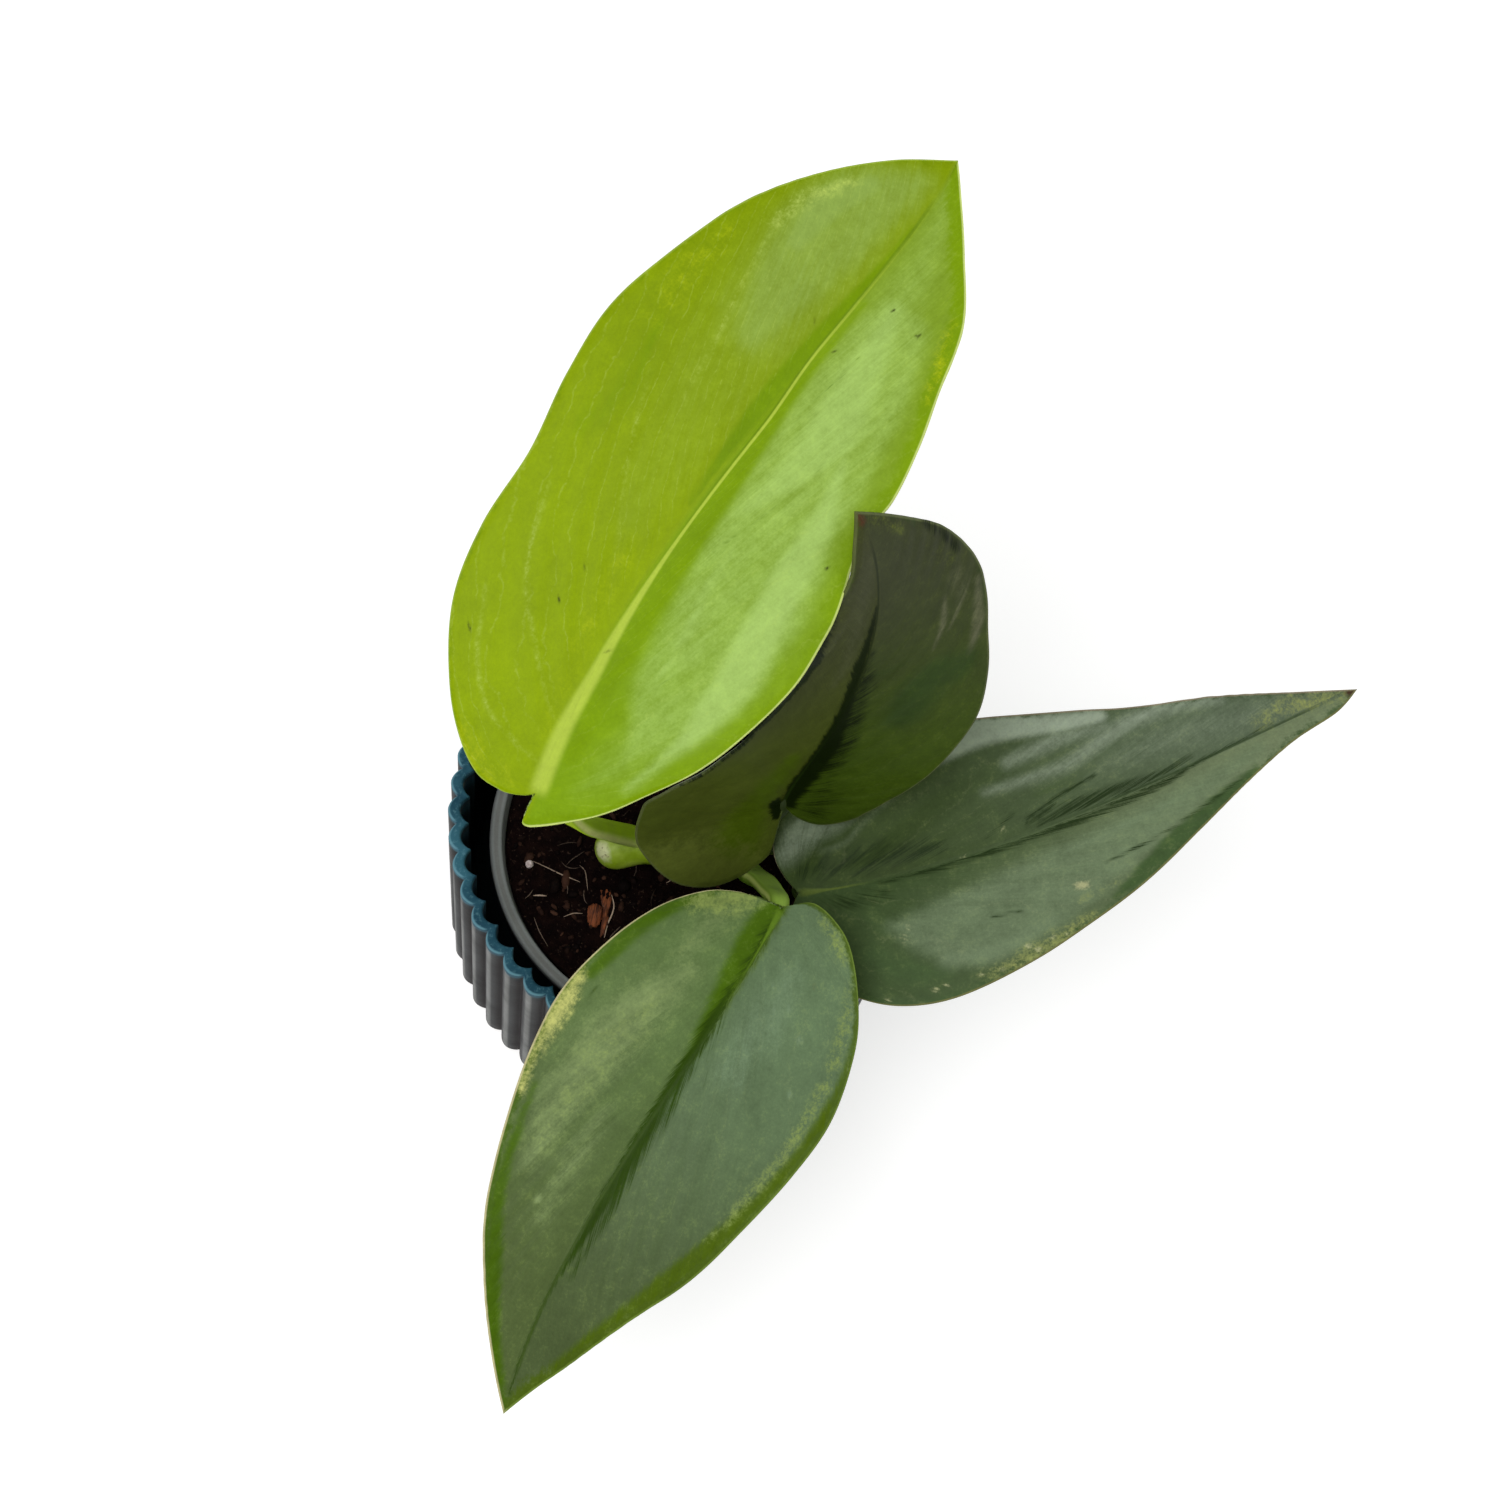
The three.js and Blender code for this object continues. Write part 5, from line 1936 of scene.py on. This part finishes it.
def right_leaf() -> Leaf:
    """Returns the long silver green leaf that reaches out to the right."""
    blade = Blade(
        rib=((18.5, -7.5, 50), (44.5, -1, 60), (71.5, 22, 65), (93.5, 40.5, 59)),
        facing=((-90, 88), (-80, 86)),
        half_width=21,
        fold=halves((5, 5), (5, 5)),
        curl=halves(-12, -8),
        outline=halves(
            ((0, 0), (-2, 2.7), (-3.3, 6.5), (-2.3, 12.4), (4, 17.2), (13, 20.3), (24, 20.8), (35, 18.8),
             (49, 14.5), (58, 11.3), (70, 7.8), (82, 3.3), (91.3, 0)),
            ((0, 0), (-1.5, 3), (-2, 8), (1, 13), (6.5, 16.8), (12, 19.2), (19, 19.8), (29.5, 18),
             (38, 15.8), (48, 13), (58.5, 9.1), (68.4, 5.6), (77.6, 3.1), (86.3, 1.9), (91.3, 0)),
        ),
    )
    stalk = Stalk(
        path=((9, -1, 42.3), (13, 1.2, 43.2), (17, 0, 45.2), (18.8, -3.6, 47.4), (18.7, -6.6, 48.9)),
        width=(1.9, 1.4), depth=(1.6, 1.2), wing=0.2,
    )
    finish = LeafFinish(
        name="silver_leaf", length=91,
        ground=halves(
            (shade(60, 76, 38), shade(90, 104, 80)),
            (shade(66, 84, 49), shade(112, 125, 93)),
        ),
        # The upper half's light colour carries its painted highlights and sky reflection
        light=halves(shade(146, 158, 138), shade(108, 125, 94)),
        green=halves(shade(58, 76, 38), shade(66, 88, 50)),
        deep=shade(34, 49, 22), yellow=shade(132, 140, 82), fine=shade(168, 170, 126),
        dry=shade(66, 44, 34),
        margin=halves((0.0, 0.0), (0.5, 0.5)),
        rib=shade(92, 108, 50), crease_shade=shade(46, 62, 34), rib_half=(0.75, 0.2), rib_reach=(5, 12),
        edge=halves(shade(138, 128, 104), shade(116, 116, 70)), edge_width=0.35,
        under=shade(104, 122, 84), streak=0.24, mottled=0.12, ragged=0.28,
        vein_share=halves(0.05, 0.06),
    )
    veins = halves(Veins(0.5, 6.5, 14, 0.02), Veins(0.5, 6.5, 14, 0.02))
    return Leaf(
        "leaf_right", blade, stalk, finish, DARK_STALK, veins, RIGHT_MARKS,
        relief=Relief(rib_depth=0.4, rib_width=1.3),
    )


FRONT_MARKS = (
    *brushed(
        Tone.LIGHT,
        (3, 0.5, (8, 6, 2), (16, 6.4, 3), (24, 6, 2.4)),
        (2.4, 0.4, (38, -6, 1), (46, -6, 2), (55, -6, 1.6)),
        # Painted sheen on the right half beside the dark rib band, over its silver
        (3.4, 0.66, (14, -7, 1), (22, -9.6, 3.6), (31, -11.4, 4), (41, -12, 3), (49, -11, 1.4)),
        (3, 0.5, (4, -6, 1), (8, -8, 2), (14, -9, 1.4)),
    ),
    *dotted(
        Tone.LIGHT, 0.5, 0.8,
        (12, 8, 0.5), (15, 11.6, 0.5), (10.4, 4.2, 0.4), (22, 14.6, 0.4), (13.4, 6.2, 0.5),
        (53, -7.4, 0.6),
    ),
    *brushed(
        Tone.GREEN,
        (1.1, 0.95, (-0.5, -0.8, 1.6), (4, -1.4, 2.2), (10, -1.4, 2), (17, -0.9, 1.5), (25, -0.2, 0.8)),
        (0.9, 0.85, (3.4, -9.6, 0.4), (8, -13.6, 1), (15, -16.8, 1.3), (23, -18.4, 1)),
        (0.9, 0.9, (40, -16.4, 0.3), (46, -15, 0.6), (54, -13, 1), (62, -9.4, 1.2), (71, -5.6, 1.2),
         (79, -1.8, 0.8)),
        (0.9, 0.85, (10, 18, 0.4), (20, 20.4, 0.9), (32, 20, 1.1), (43, 17.8, 1.3), (53, 14.6, 1.5),
         (62, 10.8, 1), (74, 5, 0.6)),
    ),
    *brushed(
        Tone.YELLOW,
        (2.2, 0.75, (0.5, -4, 1), (2.6, -7, 2), (5.5, -11, 1.4)),
        (4, 0.22, (20, -8, 1), (27, -10, 3), (36, -11, 3), (46, -11.4, 1.6)),
        (1.2, 0.42, (4, 13.4, 0.4), (10, 16, 0.9), (18, 18, 1), (28, 18.6, 0.8), (38, 17.6, 0.8),
         (46, 16, 0.3)),
        (1.4, 0.45, (-1.4, 6, 0.8), (2, 11, 1)),
    ),
    *brushed(
        Tone.DEEP,
        (0.6, 0.92, (14, -0.6, 0.5), (20, -0.2, 1), (30, 0.1, 1.1), (40, 0.7, 1.2), (50, 0.9, 1.1),
         (56, 0.8, 0.6), (64, 0.2, 0.25), (80, 0, 0.15)),
        (1, 0.6, (0, -0.1, 0.6), (6, -0.4, 0.8), (14, -0.4, 0.6)),
        (0.45, 0.6, (18, 0.9, 0.2), (23, 2, 0.3), (27.8, 3.7, 0.1)),
        (0.9, 0.8, (26, 1, 0.4), (38, 1.6, 0.7), (48, 2, 0.8), (55, 2.2, 0.5), (61, 2, 0.1)),
        (0.7, 0.35, (31, 2, 0.4), (38, 2.4, 0.3), (44, 2.2, 0.2)),
        (0.5, 0.5, (48, 0.2, 0.3), (60, 0.5, 0.2)),
        (0.3, 0.35, (30, -5, 0.05), (38, -8, 0.1), (50, -9.2, 0.05)),
        (0.3, 0.5, (24, -16.6, 0.1), (28, -17, 0.1)),
        (0.8, 0.3, (58, -9.6, 0.2), (66, -7.2, 0.3), (72, -4.8, 0.2)),
    ),
    *brushed(
        Tone.FINE,
        (1.6, 0.8, (23.6, -19.6, 0.4), (28, -19.3, 1.2), (32, -19.1, 1.2), (36, -18.8, 0.6),
         (42, -17.4, 0.2)),
    ),
    *brushed(Tone.DRY, (0.4, 0.4, (7.6, 9.4, 0.3))),
)


def front_leaf() -> Leaf:
    """Returns the silver green leaf that hangs forward over the rim."""
    blade = Blade(
        rib=((16, -14, 62.5), (9, -40.5, 61.5), (-6, -65, 55.5), (-6.5, -89.5, 39.5)),
        facing=((-95, 74), (-95, 62)),
        half_width=21,
        fold=halves((6, 6), (6, 6)),
        curl=halves(-14, -14),
        outline=halves(
            ((0, 0), (-1, 1), (-2.8, 3.8), (-2, 7.6), (0.5, 11.5), (6.8, 16.4), (13, 19.5), (22, 21.7),
             (31.6, 21.3), (42, 19.6), (52.6, 17), (62, 12.5), (72.2, 7.2), (78, 3.5), (83.5, 0)),
            ((0, 0), (0.5, 3), (1.1, 6.5), (3.6, 11), (9, 15.5), (17, 18.8), (26.8, 20.6), (36, 19.7),
             (45.5, 17.3), (57.4, 13.4), (66, 9.1), (75, 4.3), (83.5, 0)),
        ),
    )
    stalk = Stalk(
        path=((8, -2, 42.2), (10.6, -4.4, 44.4), (12.7, -6.5, 48.8), (14.4, -9.7, 54.8), (15.5, -12.4, 60)),
        width=(2.8, 1.2), depth=(1.7, 1.2), wing=0.5,
    )
    finish = LeafFinish(
        name="front_leaf", length=83.5,
        ground=halves(
            (shade(99, 121, 87), shade(78, 93, 55)),
            (shade(94, 117, 68), shade(84, 100, 56)),
        ),
        # The right half's light colour carries its painted sheen
        light=halves(shade(112, 134, 104), shade(124, 142, 92)),
        green=halves(shade(76, 98, 12), shade(70, 100, 10)),
        deep=shade(44, 67, 8), yellow=shade(132, 149, 80), fine=shade(190, 192, 112),
        dry=shade(110, 104, 56),
        margin=halves((1.2, 1.6), (0.8, 1.2)),
        rib=shade(92, 122, 30), crease_shade=shade(62, 82, 30), rib_half=(0.7, 0.15), rib_reach=(4, 14),
        edge=halves(shade(112, 134, 56), shade(206, 196, 150)), edge_width=0.4,
        under=shade(112, 134, 74), streak=0.22, mottled=0.14,
        vein_share=halves(0.03, 0.03),
    )
    veins = halves(Veins(0.6, 4.2, 16, 0.03), Veins(0.6, 4.2, 16, 0.03))
    return Leaf(
        "leaf_front", blade, stalk, finish, FRONT_STALK, veins, FRONT_MARKS,
        relief=Relief(rib_depth=0.55, rib_width=1.6),
    )


@dataclass
class Studio:
    """The pale floor, the soft lights and the camera."""

    eye: Point = (0.0, -0.144940, 0.509692)
    right: Point = (0.97428247, 0.20839285, 0.08570928)
    up: Point = (-0.22490181, 0.92277794, 0.31288983)
    back: Point = (-0.01388663, -0.32411925, 0.94591431)
    view_angle: float = 26.0
    near: float = 0.01
    far: float = 50.0
    floor_half: float = 6.0
    floor_grey: float = 0.6
    floor_glow: float = 0.6
    floor_rough: float = 0.9
    sky: float = 0.3
    aim: Point = (0.01, 0.0, 0.07)
    lights: tuple[tuple[str, Point, float, float], ...] = (
        ("key_light", (-0.3, -0.3, 1.15), 0.7, 9.0),
        ("fill_light", (0.8, 0.25, 1.0), 0.9, 3.6),
    )

    def build(self) -> None:
        """Sets the whole stage."""
        self._floor()
        self._camera()
        self._world()
        for light in self.lights:
            self._light(*light)
        view = bpy.context.scene.view_settings
        view.view_transform = "Standard"
        view.look = "None"

    def _floor(self) -> None:
        """Lays the floor."""
        mesh = bmesh.new()
        bmesh.ops.create_grid(mesh, x_segments=2, y_segments=2, size=self.floor_half)
        paint = Paint("pale_floor", Emission_Strength=self.floor_glow, Emission_Color=WHITE)
        floor = link_mesh(mesh, "floor", paint.finish((self.floor_grey,) * 3, self.floor_rough))

    def _camera(self) -> None:
        """Sets the camera at the photograph's angle."""
        data = bpy.data.cameras.new("camera")
        data.sensor_fit = "HORIZONTAL"
        data.angle = math.radians(self.view_angle)
        data.clip_start = self.near
        data.clip_end = self.far
        camera = bpy.data.objects.new("camera", data)
        rows = zip(self.right, self.up, self.back, self.eye)
        camera.matrix_world = Matrix([*(list(row) for row in rows), [0, 0, 0, 1]])
        bpy.context.scene.collection.objects.link(camera)
        bpy.context.scene.camera = camera

    def _world(self) -> None:
        """Sets the even light from all round."""
        world = bpy.data.worlds.new("studio")
        world.use_nodes = True
        background = world.node_tree.nodes["Background"]
        background.inputs["Color"].default_value = WHITE
        background.inputs["Strength"].default_value = self.sky
        bpy.context.scene.world = world

    def _light(self, name: str, place: Point, size: float, power: float) -> None:
        """Hangs a soft square light that faces the plant.

        Args:
            name: The light's name.
            place: Where it hangs, in metres.
            size: The length of its sides, in metres.
            power: Its power in watts.
        """
        data = bpy.data.lights.new(name, "AREA")
        data.shape = "SQUARE"
        data.size = size
        data.energy = power
        light = bpy.data.objects.new(name, data)
        aim = Vector(self.aim) - Vector(place)
        light.rotation_euler = aim.to_track_quat("-Z", "Y").to_euler()
        light.location = place
        bpy.context.scene.collection.objects.link(light)


def main() -> None:
    """Builds the plant, its pots and the studio."""
    logging.basicConfig(level=logging.INFO, format="%(message)s")
    OuterPot().build()
    GrowPot().build()
    Soil().build()
    Vine().build()
    for leaf in (new_leaf(), middle_leaf(), right_leaf(), front_leaf()):
        leaf.build()
    Studio().build()


if __name__ == "__main__":
    main()
